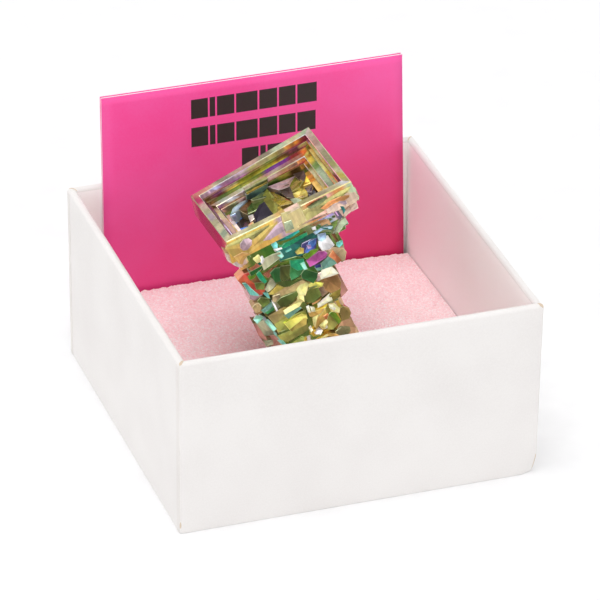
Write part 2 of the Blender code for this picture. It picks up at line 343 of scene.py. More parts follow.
def paper_material(name, tones, bump=0.35):
    material, tree, shader = new_material(name)
    place = add_node(tree, "TexCoord").outputs["Object"]
    fibres = add_node(tree, "TexNoise", Vector=place, Scale=per_mm(FIBRE), Detail=3.0, Roughness=0.6)
    clouds = add_node(tree, "TexNoise", Vector=place, Scale=per_mm(CLOUD), Detail=2.0)
    both = add_node(tree, "Math", {"operation": "MULTIPLY_ADD"}, in_0=fibres, in_1=0.7, in_2=clouds)
    tint = add_node(tree, "ValToRGB", stops=((0.35, tones[0]), (1.0, tones[1])), Fac=both)
    relief = add_node(tree, "Bump", Height=fibres, Strength=bump, Distance=FIBRE_RELIEF * MM)
    finish = dict(Roughness=PAPER_ROUGHNESS, Specular_IOR_Level=PAPER_SPECULAR)
    set_inputs(tree, shader, Base_Color=tint, Normal=relief, **finish)
    return material


white_paper = paper_material("white uncoated wrapping paper", ("E0DCDA", "E9E6E4"))
# The lining is the same white paper as the wrapping in a much paler tone: painted light that brightens the
# inside of the tray, which gets less light.
lit_lining_paper = paper_material("lining paper painted paler", ("FAF6F4", "FFFDFC"))
darker_flap_paper = paper_material("darker flap paper", ("DAD5D2", "E6E2DF"))
bare_board = paper_material("bare greyboard edge", ("C3AC94", "DCCBB6"), bump=0.6)
print("fibre grain:", FIBRE, "mm")

# %% [markdown]
# The corner flaps and the worn places come last. Each flap is a strip of paper, glued to a side wall and
# bent round the upright corner. At the top of each corner the paper doesn't quite meet and shows a sliver
# of bare board. Near the foot of the two front corners the paper is rubbed through to a thin line.

# %% Flaps and worn corners
FLAP_WIDTH, FLAP_STEPS, FLAP_ROOT = 1.05, 24, 0.1
ROUND_BACK = CORNER_RADIUS * 0.29  # how far a round corner lies inside a sharp one
SEAM_STEPS, NICK_STEPS = 9, 6
SEAM_LIFT, NICK_LIFT = (0.03, -0.1), (0.02, -0.12)  # how far the board stands proud, and how deep it goes
SEAMS = (  # corner, width of the gap (mm), first and last angle over the rim, 0 outside and 180 inside
    (-1, -1, 0.42, 25, 120),
    (1, -1, 0.5, 0, 95),
    (1, 1, 0.2, 40, 150),
    (-1, 1, 0.22, 40, 150),
)
NICKS = ((-1, -1, 0.26, 1.0, 2.1), (1, -1, 0.2, 0.7, 3.4))  # corner, width, lowest and highest point


def solid_strip(builder, rows):
    """A closed bar through rows of vertices."""
    loft(builder, rows)
    builder.faces.new(list(reversed(rows[0])))
    builder.faces.new(rows[-1])


def make_flap(builder, side, end):
    """A strip up one side wall (side -1 or 1 in X), beside its front (end -1) or back (end 1) corner."""
    rows = []
    for z in np.linspace(FOOT_RADIUS, RIM_FOOT, FLAP_STEPS):
        x = outer_half(z) - knock(side, end, z)
        edge = x - CORNER_RADIUS
        wander = 0.06 * noise.noise(Vector((side * 9.0, end * 5.0, z / 4)))
        across = (edge + 0.2, edge - FLAP_WIDTH * 0.5, edge - FLAP_WIDTH - wander)
        section = list(zip((0.0, PAPER * 0.95, PAPER * 0.9), across))
        section += [(-FLAP_ROOT, across[-1] - 0.01), (-FLAP_ROOT, across[0])]
        rows.append([builder.verts.new(Vector((side * (x + up), end * y, z)) * MM) for up, y in section])
    solid_strip(builder, rows)


def sliver(builder, sx, sy, path):
    """Bare board on a corner. path gives its half width, its outer (reach, Z) and its inner one."""
    aside = Vector((-sy, sx, 0)).normalized()
    rows = []
    for wide, outer, inner in path:
        row = []
        for (reach, z), spread in ((outer, -1), (outer, 1), (inner, 1), (inner, -1)):
            point = Vector((sx * reach, sy * reach, z)) + aside * wide * spread * (sx * sy)
            row.append(builder.verts.new(point * MM))
        rows.append(row)
    solid_strip(builder, rows)


def seam_path(place, width, first, last):
    """Over the rim, widest in the middle."""
    for step in range(SEAM_STEPS):
        share = step / (SEAM_STEPS - 1)
        angle = math.radians(first + (last - first) * share)
        wide = width / 2 * (0.1 + 0.9 * math.sin(math.pi * share) ** 0.7)
        wide *= 1 + 0.9 * noise.noise(Vector((place * 3.0, step / 1.5, 0)))
        points = []
        for up in SEAM_LIFT:
            reach = RIM_MIDDLE + (WALL / 2 + up) * math.cos(angle) - ROUND_BACK
            points.append((reach, RIM_FOOT + (RIM_RADIUS + up) * math.sin(angle)))
        yield wide, *points


def nick_path(sx, sy, width, low, high):
    """Up the corner's edge, near the foot."""
    for z in np.linspace(low, high, NICK_STEPS):
        reach = outer_half(z) - knock(sx, sy, z) - ROUND_BACK
        wide = width / 2 * (0.3 + 0.7 * math.sin(math.pi * (z - low) / (high - low)))
        yield wide, *((reach + up, z) for up in NICK_LIFT)


def make_tray():
    tray = new_piece("wrapped_tray", make_tray_mesh(), white_paper, lit_lining_paper)
    flaps, worn = bmesh.new(), bmesh.new()
    for side in (-1, 1):
        for end in (-1, 1):
            make_flap(flaps, side, end)
    for place, (sx, sy, *rest) in enumerate(SEAMS):
        sliver(worn, sx, sy, seam_path(place, *rest))
    for nick in NICKS:
        sliver(worn, *nick[:2], nick_path(*nick))
    strips = new_piece("corner_flaps", outward(flaps), darker_flap_paper)
    seams = new_piece("corner_seams", outward(worn), bare_board)
    for piece in (tray, strips, seams):
        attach(piece, "root")
    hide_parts("specimen_box")
    return tray


tray = make_tray()
print("tray:", len(tray.data.polygons), "faces,", [round(v * 1000, 2) for v in tray.dimensions], "mm")

# %% [markdown]
# ## The foam pad
# The crystal stands in a pad of pink foam with glittering fine cells, cut to fill the tray. Its top is a
# grid fine enough to carry the cells as real relief. The relief comes from the distance to scattered
# points, which is what a froth of bubbles that press on each other looks like.

# %% Foam surface
FOAM_HALF, FOAM_TOP, FOAM_FOOT = 28.6, 11.4, 1.65
FOAM_BACK = 26.95  # Y of its back edge, just short of the card
FOAM_STEP, CELL, CELL_DEPTH = 0.27, 0.7, 0.16
EDGE_ROUND, EDGE_REACH = 0.25, 0.5  # the cut edge is rounded by this much, over this width
CORNER_SAG = 0.75  # how far the pad sinks at its back right corner
SAG_START, SAG_SPAN = (8, -2), (20, 29)  # X and Y where the sinking starts, and how far it runs
WAVE_HEIGHT, WAVE_LENGTH = 0.12, 8.0
RIM_CENTRE = Vector((-5.5, 0.0, 42.6))
LEAN = Euler([math.radians(angle) for angle in (-3.6, -21.85, 0.9)]).to_matrix()


def froth(point):
    """0 in the middle of a cell and about 1 on the wall between two cells."""
    near = noise.voronoi(Vector(point) / CELL)[0]
    return min(1.0, max(0.0, 1.0 - 2.2 * (near[1] - near[0])))


def foam_height(x, y):
    edge = min(FOAM_HALF - abs(x), FOAM_HALF + y, FOAM_BACK - y)
    rounding = EDGE_ROUND * max(0.0, 1.0 - edge / EDGE_REACH) ** 2
    shares = [max(0.0, (at - start) / span) for at, start, span in zip((x, y), SAG_START, SAG_SPAN)]
    sag = CORNER_SAG * shares[0] * shares[1]
    wave = WAVE_HEIGHT * noise.noise(Vector((x, y, 3.0)) / WAVE_LENGTH)
    return FOAM_TOP - 0.02 + wave - sag - rounding - CELL_DEPTH * (1 - froth((x, y, 0.0)))


print("foam height in the middle:", round(foam_height(0, 0), 2), "mm")

# %% [markdown]
# Where the crystal goes in, the grid's points are pushed down along the crystal's own axis, so the pocket
# has the root's outline and its lean. The back edge is torn rather than cut, so its points wander.

# %% Foam pad mesh
ROOT_BLOCKS = ((-11.45, 2.45, -6.15, 3.55), (-9.35, 0.75, -8.35, 6.15))  # X and Y limits, crystal frame
POCKET_LENGTH = 9.1
TEAR_WIDTH, TEAR_HEIGHT = 0.3, 0.35


def in_pocket(x, y):
    """The crystal's own frame has its Z at 0 on the rim and falling to the root."""
    here = LEAN.transposed() @ (Vector((x, y, FOAM_TOP)) - RIM_CENTRE)
    return any(x0 < here.x < x1 and y0 < here.y < y1 for x0, x1, y0, y1 in ROOT_BLOCKS)


def foam_point(x, y, shuffle):
    from_back = FOAM_BACK - y
    ragged = shuffle.uniform(-0.22, 0.06) if from_back <= TEAR_WIDTH else 0.0
    torn = TEAR_HEIGHT * noise.noise(Vector((x / 0.8, 0.0, 7.0))) if from_back <= TEAR_WIDTH + 0.2 else 0.0
    if in_pocket(x, y):
        return Vector((x, y, FOAM_TOP)) + LEAN @ Vector((0, 0, -POCKET_LENGTH))
    return Vector((x, y + ragged, foam_height(x, y) + torn))


def make_foam_mesh():
    builder = bmesh.new()
    shuffle = random.Random(5)
    xs = np.linspace(-FOAM_HALF, FOAM_HALF, int(2 * FOAM_HALF / FOAM_STEP))
    ys = np.linspace(-FOAM_HALF, FOAM_BACK, int((FOAM_BACK + FOAM_HALF) / FOAM_STEP))
    rows = [[builder.verts.new(foam_point(x, y, shuffle) * MM) for x in xs] for y in ys]
    for lower, upper in zip(rows, rows[1:]):
        for step in range(len(lower) - 1):
            builder.faces.new((lower[step], lower[step + 1], upper[step + 1], upper[step]))
    border = rows[0][:-1] + [row[-1] for row in rows[:-1]]
    border += rows[-1][:0:-1] + [row[0] for row in rows[:0:-1]]
    foot = [builder.verts.new((v.co.x, v.co.y, FOAM_FOOT * MM)) for v in border]
    loft(builder, [foot, border])
    builder.faces.new(list(reversed(foot)))
    return outward(builder)


print("pocket in the middle of the root:", in_pocket(RIM_CENTRE.x - 12, 0.0))

# %% [markdown]
# Polyethylene foam is translucent, so it is soft pink all through, a little deeper in the cells, with a dry
# matt skin. A few cell walls in a hundred lie flat enough to flash: they are picked out of a second Voronoi
# pattern, made smoother and painted white, a painted glint.

# %% Foam material
SKIN_GRAIN, SKIN_CLOUD, FLASH_SIZE, SKIN_RELIEF = 0.4, 9.0, 0.14, 0.15  # mm
FOAM_ROUGHNESS = (0.85, 0.6)  # a cell wall, and one that flashes
FLASH_SHARE = 0.05  # how many of the cell walls flash
FOAM_STOPS = ((0.42, "F6C8CC"), (0.62, "FBDEE0"), (0.82, "FFF6F6"))


def make_foam_material():
    material, tree, shader = new_material("pink cellular foam")
    place = add_node(tree, "TexCoord").outputs["Object"]
    grain = add_node(tree, "TexNoise", Vector=place, Scale=per_mm(SKIN_GRAIN), Detail=4.0, Roughness=0.75)
    clouds = add_node(tree, "TexNoise", Vector=place, Scale=per_mm(SKIN_CLOUD), Detail=3.0)
    both = add_node(tree, "Math", {"operation": "MULTIPLY_ADD"}, in_0=clouds, in_1=0.25, in_2=grain)
    tint = add_node(tree, "ValToRGB", stops=FOAM_STOPS, Fac=both)
    flakes = add_node(tree, "TexVoronoi", Vector=place, Scale=per_mm(FLASH_SIZE))
    pick = add_node(tree, "SeparateXYZ", Vector=flakes.outputs["Color"])
    flash = add_node(tree, "Math", {"operation": "GREATER_THAN"}, in_0=pick, in_1=1 - FLASH_SHARE)
    # Painted glint: the flashing cells are painted white.
    blend = add_node(tree, "Mix", {"data_type": "RGBA"}, in_0=flash, in_6=tint, in_7=colour("FFFFFF"))
    gloss = add_node(tree, "MapRange", Value=flash, To_Min=FOAM_ROUGHNESS[0], To_Max=FOAM_ROUGHNESS[1])
    relief = add_node(tree, "Bump", Height=grain, Strength=0.8, Distance=SKIN_RELIEF * MM)
    set_inputs(tree, shader, Base_Color=blend.outputs[2], Roughness=gloss, Normal=relief)
    return material


foam = new_piece("foam_cushion", make_foam_mesh(), make_foam_material())
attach(foam, "root")
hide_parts("foam_pad")
print("foam:", len(foam.data.polygons), "faces")

# %% [markdown]
# ## The label card
# One strip of satin card is folded in half at its foot and leans on the back wall, so its top shows two
# pale cut edges. It is made as an open strip that follows the fold, then given the card's thickness. The
# leaves spring apart a little towards the top. The front face has plain dark blocks where a label has words.

# %% Card strip
CARD_WIDTH, CARD_TOP, CARD_LEAF = 51.9, 47.1, 0.27
CARD_PLACE = Vector((1.4, 27.45, 1.87))
CARD_LEAN = math.radians(2.0)
FOLD_RADIUS = 0.17
SPRING_FRONT, SPRING_BACK, SPRING_DROP = 0.03, 0.36, 0.02
CARD_COLUMNS, LEAF_ROWS, FOLD_STEPS = 26, 30, 8
CARD_FLARE = 0.8  # hand-cut: the right edge runs outwards to the foot by this much
CARD_BOW = 0.1


def card_profile():
    """(Y, Z) of the strip's middle line: down the front leaf, round the fold, up the back leaf."""
    length = (CARD_TOP - CARD_PLACE.z) / math.cos(CARD_LEAN)
    heights = np.linspace(0, length, LEAF_ROWS)
    front = [(-FOLD_RADIUS - SPRING_FRONT * (z / length) ** 2, z) for z in heights[::-1]]
    back = [(FOLD_RADIUS + SPRING_BACK * (z / length) ** 2, z - SPRING_DROP * z / length) for z in heights]
    turns = [math.pi * (1 + step / FOLD_STEPS) for step in range(1, FOLD_STEPS)]
    return front + [(FOLD_RADIUS * math.cos(turn), FOLD_RADIUS * math.sin(turn)) for turn in turns] + back


def card_point(x, y, z):
    bow = CARD_BOW * math.cos(math.pi * x / CARD_WIDTH)
    flare = CARD_FLARE * (x / CARD_WIDTH + 0.5)
    return Vector((x + flare * (1 - z / CARD_TOP), y - bow * z / CARD_TOP, z)) * MM


def make_card(*materials):
    builder = bmesh.new()
    profile = card_profile()
    xs = np.linspace(-CARD_WIDTH / 2, CARD_WIDTH / 2, CARD_COLUMNS)
    columns = [[builder.verts.new(card_point(x, y, z)) for y, z in profile] for x in xs]
    for left, right in zip(columns, columns[1:]):
        for step in range(len(profile) - 1):
            face = builder.faces.new((left[step], left[step + 1], right[step + 1], right[step]))
            face.smooth = True
            face.material_index = 0 if step < LEAF_ROWS - 1 else 1
    card = new_piece("folded_card", outward(builder), *materials)
    card.data.transform(Matrix.Translation(CARD_PLACE * MM) @ Matrix.Rotation(-CARD_LEAN, 4, "X"))
    thickness = card.modifiers.new("card thickness", "SOLIDIFY")
    thickness.thickness, thickness.offset = CARD_LEAF * MM, 0
    thickness.material_offset_rim = 2
    thickness.use_even_offset = True
    return card


print("card profile:", len(card_profile()), "points")

# %% [markdown]
# The print is satin offset ink: flat, saturated pink with the paper's fine tooth in its gloss. Low on the
# right the pink is painted deeper, as painted shade. The dark blocks are drawn in the same ink layer: the
# shader compares a point's X and Z with the middle of each block.

# %% Card materials
CARD_PINK = ("F9489A", "F95AAA")  # the two tones of the solid pink
# The deeper pink is painted shade for the card's lower right; the black is print.
SHADED_PINK, PRINT_BLACK = "DC2866", "2A1C1C"
TOOTH, INK_CLOUD, TOOTH_RELIEF = 0.35, 12.0, 0.03  # mm
INK_ROUGHNESS = (0.4, 0.6)  # satin
SHADE_LOW, SHADE_RIGHT = (46, 8), (-34, 26)  # Z and X, in mm, from where the painted shade starts to where it is deepest
ROW_HEIGHT, BLOCK_GAP = 3.5, 0.3
ROWS = (  # height of the row's middle, first block's left side, widths of its blocks
    (42.75, -9.3, (2.9, 0.95, 3.0, 3.7, 3.1, 2.9, 3.4)),
    (37.65, -9.3, (2.9, 0.95, 3.0, 3.7, 3.1, 2.9, 3.2)),
    (32.6, -0.6, (2.9, 0.95, 3.0)),
)


def print_mask(tree, across, up):
    """1 inside a printed block, 0 outside."""
    total = 0.0
    for height, left, widths in ROWS:
        row = 0.0
        for width in widths:
            near = dict(in_1=(left + width / 2) * MM, in_2=width / 2 * MM)
            block = add_node(tree, "Math", {"operation": "COMPARE"}, in_0=across, **near)
            row = add_node(tree, "Math", {"operation": "MAXIMUM"}, in_0=row, in_1=block)
            left += width + BLOCK_GAP
        near = dict(in_1=height * MM, in_2=ROW_HEIGHT / 2 * MM)
        level = add_node(tree, "Math", {"operation": "COMPARE"}, in_0=up, **near)
        total = add_node(tree, "Math", {"operation": "MULTIPLY_ADD"}, in_0=row, in_1=level, in_2=total)
    return total


def make_card_material(name, printed=False):
    material, tree, shader = new_material(name)
    place = add_node(tree, "TexCoord").outputs["Object"]
    tooth = add_node(tree, "TexNoise", Vector=place, Scale=per_mm(TOOTH), Detail=3.0)
    clouds = add_node(tree, "TexNoise", Vector=place, Scale=per_mm(INK_CLOUD), Detail=2.0)
    both = add_node(tree, "Math", {"operation": "MULTIPLY_ADD"}, in_0=tooth, in_1=0.5, in_2=clouds)
    pink = add_node(tree, "ValToRGB", stops=((0.5, CARD_PINK[0]), (1.0, CARD_PINK[1])), Fac=both)
    axes = add_node(tree, "SeparateXYZ", Vector=place)
    across, up = axes.outputs["X"], axes.outputs["Z"]
    # Painted shade: the pink is mixed towards a deeper pink low on the right.
    low = add_node(tree, "MapRange", Value=up, From_Min=SHADE_LOW[0] * MM, From_Max=SHADE_LOW[1] * MM)
    right = add_node(tree, "MapRange", Value=across, From_Min=SHADE_RIGHT[0] * MM, From_Max=SHADE_RIGHT[1] * MM)
    card_shade = add_node(tree, "Math", {"operation": "MULTIPLY"}, in_0=low, in_1=right)
    ink = add_node(tree, "Mix", {"data_type": "RGBA"}, in_0=card_shade, in_6=pink, in_7=colour(SHADED_PINK))
    if printed:
        mask = print_mask(tree, across, up)
        black = colour(PRINT_BLACK)
        ink = add_node(tree, "Mix", {"data_type": "RGBA"}, in_0=mask, in_6=ink.outputs[2], in_7=black)
    gloss = add_node(tree, "MapRange", Value=tooth, To_Min=INK_ROUGHNESS[0], To_Max=INK_ROUGHNESS[1])
    relief = add_node(tree, "Bump", Height=tooth, Strength=0.12, Distance=TOOTH_RELIEF * MM)
    set_inputs(tree, shader, Base_Color=ink.outputs[2], Roughness=gloss, Normal=relief)
    return material


card = make_card(
    make_card_material("satin printed card", printed=True),
    make_card_material("satin pink card"),
    paper_material("cut edge of card", ("FBDDE8", "FFF4F8"), bump=0.3),
)
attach(card, "root")
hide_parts("label_card")
print("card:", len(card.data.polygons), "faces before its thickness")

# %% [markdown]
# ## The crystal: colours
# The metal itself is silver. Its oxide film is a fraction of a micrometre thick, and light that bounces off
# the film's two sides cancels for some colours. As the film thickens, the metal goes from straw and gold
# through rose, violet and blue to green, and then round again in paler tones. Each colour here is named as
# a grower would name it.

# %% Oxide colours
OXIDE = {
    "pearl": "F6F2F2", "cream": "FBF4CC", "straw": "E2D4A4", "straw_gold": "DABE62", "gold": "E8BC62",
    "honey": "D8B866", "gold_bright": "F0C63C", "lemon": "F8F08C", "lemon_pale": "FAF8C4",
    "lemon_bright": "F8F264", "lemon_dark": "E0CE60", "lime": "B4CC68", "olive_yellow": "C4C060",
    "olive_green": "A0AC54", "olive": "92903A", "olive_tan": "B6AE6C", "gold_olive": "AC9438",
    "amber": "DCAC68", "amber_brown": "CCB082", "copper": "D48C54", "salmon": "EEB8A2", "brick": "DA8468",
    "vermilion": "DC5C44", "blush": "EED2C8", "rose_tan": "DCB8A6", "rose_brown": "C49888", "tan": "CCBC84",
    "tan_dark": "AC8C5C", "umber_light": "A2804E", "umber": "765530", "umber_green": "50602A",
    "khaki": "9C9450", "rose_dark": "AC8072", "umber_dark": "5A4038", "ink_brown": "4A342C",
    "ink": "383040", "taupe": "B4A880", "taupe_dark": "8E7E64", "mauve": "BCA2AE", "lavender": "B8A0E0",
    "orchid": "D8A0D4", "lilac": "E2C4E8", "pink": "E8A8C4", "rose": "D86A98", "magenta": "BC5CAA",
    "plum": "7A4460", "maroon": "8A3844", "violet": "6C3C9C", "indigo": "44448A", "navy": "2E3A7E",
    "blue": "4A7CD8", "sky": "A8CCF4", "steel": "A4B4C0", "steel_dark": "6E6478", "turquoise": "74E0CC",
    "mint": "98F0C8", "teal_light": "74B4A0", "teal": "20A492", "teal_dark": "24706A", "emerald": "1EB07A",
    "green": "3C9450", "green_dark": "2E7038", "leaf": "7C9A44", "leaf_bright": "6CA024",
    "leaf_dark": "447A2C", "moss": "6A843A", "moss_dark": "587030", "sage": "9CA888",
    "sage_light": "C0CEA8", "sage_dark": "7A8458", "slate": "5E7A78",
}  # fmt: skip
LINEAR = {name: colour(value) for name, value in OXIDE.items()}


def mixed(first, second, share):
    return tuple(a + (b - a) * share for a, b in zip(first, second))


def dimmed(tone, share):
    return tuple(share * part for part in tone[:3]) + (1.0,)


def greyer(tone, gain=0.96):
    """The same colour with a little less of its own hue and more grey."""
    grey = sum(tone[:3]) / 3
    return tuple(min(0.97, max(0.004, grey + gain * (part - grey))) for part in tone[:3]) + (1.0,)


print(len(OXIDE), "oxide colours")

# %% [markdown]
# ## The crystal: cut faces
# Everything on the crystal is a flat plate or block with a narrow bevel, because that is how hopper crystals
# grow: flat terraces whose edges catch the light. The faces are painted lighter on one side and darker on the
# other, painted highlight and shade, and the bevels are painted in a paler tone, a painted highlight. One
# small class collects them in a single mesh. The colour is stored at each face's corners, so one material can
# show them all.

# %% Plates and blocks
OUTWARD = dict(front=(1, -1), right=(0, 1), left=(0, -1), back=(1, 1), top=(2, 1), under=(2, -1))
BEVEL, OVERLAP = 0.09, 0.18
BEVEL_DROP, INWARD_LIMIT = 0.8, 0.4  # as shares of the bevel's width and of the way to the middle
# The bevels' paler tone is a painted highlight along each edge.
HIGHLIGHT_TONE = "cream"
PEAK, PEAK_LIMIT, THIN = 0.05, 0.12, 0.5  # a face's middle rises by a share of its reach, unless it is thin
SIDE_MIX, RIM_HIGHLIGHT_MIX, BLOCK_HIGHLIGHT_MIX = 0.25, 0.22, 0.35  # how far the sides go towards a paler tone, and the bevels towards a painted highlight
LIGHT_SHARE, SHADE_SHARE, PALEST = 1.6, 0.5, 0.96  # painted highlight and painted shade at a face's lightest and darkest corners
DRIFT_WAVES, DRIFT_SHARE = (7, 5), 0.25  # the waves turn a face's place into a varied lean
# The painted highlight runs to the side these waves pick, and the flash waves give each triangle a painted
# glint.
LIT_SIDE_WAVES, LIT_SIDE_BACK = (3, 2), 0.3
FLASH_WAVES, FLASH_LOW, FLASH_SPAN = (17, 5), 0.8, 0.45


class Growth:
    """A mesh of plates with an oxide colour at each corner, painted highlight and shade mixed in, in the
    crystal's frame, in mm.
    """

    def __init__(self):
        self.builder = bmesh.new()
        self.oxide = self.builder.loops.layers.float_color.new("oxide")

    def face(self, points, tones):
        self.join([self.builder.verts.new(point) for point in points], tones)

    def join(self, vertices, tones):
        """One face. tones is a single colour, or one colour for each corner."""
        face = self.builder.faces.new(vertices)
        tones = [tones] * len(vertices) if isinstance(tones[0], float) else tones
        for loop, tone in zip(face.loops, tones):
            loop[self.oxide] = tone

    def plate(self, middle, axes, outline, depth, tone, edge=BEVEL):
        """A bevelled plate. outline is in (right, up) from the middle, axes are its right, up and out."""
        right, up, out = axes
        centre = sum((Vector(p) for p in outline), Vector((0, 0))) / len(outline)
        rings = []
        for shrink, level in ((edge - OVERLAP, 0.0), (-OVERLAP, -edge * BEVEL_DROP), (-OVERLAP, -depth)):
            ring = []
            for point in outline:
                inward = centre - Vector(point)
                here = Vector(point) + inward.normalized() * min(shrink, inward.length * INWARD_LIMIT)
                ring.append(self.builder.verts.new(middle + right * here.x + up * here.y + out * level))
            rings.append(ring)
        side = mixed(tone, LINEAR["straw"], SIDE_MIX)
        # Painted highlight: the bevel is mixed towards a pale tone.
        rim = mixed(tone, LINEAR[HIGHLIGHT_TONE], RIM_HIGHLIGHT_MIX)
        for lower, upper, shade in ((rings[1], rings[0], rim), (rings[2], rings[1], side)):
            for step in range(len(outline)):
                after = (step + 1) % len(outline)
                self.join((lower[step], lower[after], upper[after], upper[step]), shade)
        self.fan(rings[0], tone, 0.0 if depth < THIN else PEAK_LIMIT)
        self.join(list(reversed(rings[2])), side)

    def fan(self, ring, tone, peak):
        """A shallow pyramid of triangles, painted from shade on one side to highlight on the other, each
        triangle with its own painted glint.
        """
        middle = sum((vertex.co for vertex in ring), Vector()) / len(ring)
        out = (ring[1].co - ring[0].co).cross(ring[2].co - ring[1].co).normalized()
        reach = max((vertex.co - middle).length for vertex in ring)
        a, b = DRIFT_WAVES
        drift = Vector((math.cos(middle.x * a), 0.0, math.sin(middle.z * b))) * reach * DRIFT_SHARE
        a, b = LIT_SIDE_WAVES
        lit_side = Vector((math.cos(middle.x * a), LIT_SIDE_BACK, math.sin(middle.z * b)))
        hub = middle + drift - out * (out.dot(drift)) + out * min(reach * PEAK, peak)
        hub = self.builder.verts.new(hub)
        light = tuple(min(PALEST, LIGHT_SHARE * part + 0.01) for part in tone[:3]) + (1.0,)
        shade_tone = tuple(min(PALEST, SHADE_SHARE * part + 0.01) for part in tone[:3]) + (1.0,)
        shares = [0.5 + 0.5 * (vertex.co - middle).dot(lit_side) / reach for vertex in ring]
        tones = [mixed(shade_tone, light, min(1.0, max(0.0, share))) for share in shares]
        for step in range(len(ring)):
            after = (step + 1) % len(ring)
            wave = math.sin(FLASH_WAVES[0] * middle.x + FLASH_WAVES[1] * step)
            flash = FLASH_LOW + FLASH_SPAN * (0.5 + 0.5 * wave) ** 2
            shades = [dimmed(shade, flash) for shade in (tone, tones[step], tones[after])]
            self.join((hub, ring[step], ring[after]), shades)

    def block(self, x, y, z, tones, edge=0.2, turn=(0, 0, 0)):
        """A bevelled cuboid between limits, with a colour for each way it faces."""
        middle = Vector((sum(x), sum(y), sum(z))) / 2
        half = Vector((x[1] - x[0], y[1] - y[0], z[1] - z[0])) / 2
        spin = Euler([math.radians(angle) for angle in turn]).to_matrix()
        all_signs = [(a, b, c) for a in (-1, 1) for b in (-1, 1) for c in (-1, 1)]
        corners = {}
        for signs in all_signs:
            for kind in range(3):  # each corner is cut off by three points, one on each face
                reach = [half[axis] - (0.0 if axis == kind else edge) for axis in range(3)]
                point = Vector([sign * length for sign, length in zip(signs, reach)])
                corners[(*signs, kind)] = self.builder.verts.new(middle + spin @ point)

        def corner(kind, *pairs):
            signs = dict(pairs)
            return corners[signs[0], signs[1], signs[2], kind]

        # Painted highlight: each bevel is mixed towards a pale tone.
        highlight_rims = [mixed(tone, LINEAR[HIGHLIGHT_TONE], BLOCK_HIGHLIGHT_MIX) for tone in tones.values()]
        for way, tone in tones.items():
            axis, sign = OUTWARD[way]
            one, two = (other for other in range(3) if other != axis)
            self.join([corner(axis, (axis, sign), (one, a), (two, b)) for a, b in CORNERS], tone)
        for axis in range(3):  # the twelve long bevels
            one, two = (other for other in range(3) if other != axis)
            for a, b in CORNERS:
                ends = ((-1, one), (1, one), (1, two), (-1, two))
                ring = [corner(kind, (axis, end), (one, a), (two, b)) for end, kind in ends]
                self.join(ring, highlight_rims[(a > 0) + 2 * (b > 0)])
        for signs in all_signs:
            self.join([corners[(*signs, kind)] for kind in range(3)], highlight_rims[0])


print("bevel:", BEVEL, "mm")

# %% [markdown]
# ## The crystal: the hopper
# The head is a square funnel. Its inside is a flight of terraces, each a wall and a ledge, cut from the
# list below. Every wall and ledge is a strip, and the words beside it are the oxide colours along the
# strip, from left to right at the back and front and from front to back at the sides.

# %% Terraces of the funnel
HEAD = (-11.0, 11.0, -10.0, 10.0)
HEAD_LOW, HEAD_FOOT = (-11.6, 11.0, -10.0, 10.0), -3.8  # the left side spreads a little to its foot
UNDER, UNDER_FOOT = (-10.7, 10.4, -9.4, 9.6), -5.8  # the plate under the head
LEVELS = (  # limits and depth, then the wall and the ledge at the back, at the right and at the left
    (
        (-9.8, 9.8, -8.5, 8.5),
        0.9,
        "lilac lilac orchid lilac straw straw tan copper maroon",
        "umber umber plum umber umber_green plum maroon",
        "maroon copper gold gold olive",
        "maroon maroon tan straw_gold straw olive_tan pink",
        "plum umber umber",
        "plum plum umber umber plum umber_dark",
    ),
    (
        (-9.4, 9.4, -8.1, 8.0),
        1.5,
        "umber plum taupe olive olive olive umber plum tan",
        "taupe umber lemon_dark olive olive_yellow lemon_dark umber maroon",
        "gold olive gold",
        "straw_gold tan gold_bright lemon straw_gold gold olive",
        "maroon plum plum",
        "pearl lilac plum plum umber",
    ),
    (
        (-9.0, 8.9, -7.7, 7.5),
        2.1,
        "umber umber_green moss olive moss violet violet maroon copper",
        "blush pearl blush pearl blush salmon straw rose_brown rose_brown copper",
        "gold sage_light olive",
        "sage_light sage sage_light sage_light leaf gold_bright lemon",
        "umber rose_brown rose_brown",
        "maroon rose_brown rose_brown tan umber",
    ),
    (
        (-8.2, 7.9, -6.6, 6.3),
        2.9,
        "orchid blush blush lilac blush blush salmon salmon brick",
        "umber umber umber_green umber umber umber maroon",
        "tan gold straw",
        "gold gold_bright tan tan straw olive gold",
        "gold copper gold",
        "copper gold gold copper umber umber",
    ),
    (
        (-7.8, 7.3, -6.2, 5.9),
        4.1,
        "rose_brown taupe rose_brown sage_dark sage_dark moss_dark olive umber umber_light",
        "umber rose_brown olive moss moss leaf_dark olive umber olive",
        "pearl tan pearl",
        "pearl tan pearl pearl olive_tan pearl gold",
        "lavender pearl steel",
        "pearl steel lavender olive pearl pearl",
    ),
)
print("terraces go down to", LEVELS[-1][1], "mm")

# %% [markdown]
# A strip is a row of small quads, so its colour can run from one tone to the next along its length. Four
# strips make a ring between two rectangles. The real rim is not quite flat, and a slight twist of the
# points gives it that.

# %% Strips and rings
SIDES = (("front", 0, 1), ("right", 1, 2), ("back", 3, 2), ("left", 0, 3))  # and each one's two corners
TWIST = 0.0045  # opposite corners of the rim rise by this times X and Y
TWIST_FOOT, TWIST_FADE = -6.0, 4.0  # Z where the twist ends, and the height over which it fades
PARTS, HOLD = 4, 0.3  # quads for each colour, and the share of a part that keeps one colour


def all_round(words):
    return {way: words for way, _, _ in SIDES}


def twisted(x, y, z):
    fade = min(1.0, max(0.0, (z - TWIST_FOOT) / TWIST_FADE))
    return Vector((x, y, z + TWIST * x * y * fade))


def rectangle(x0, x1, y0, y1, z):
    return [twisted(x, y, z) for x, y in ((x0, y0), (x1, y0), (x1, y1), (x0, y1))]


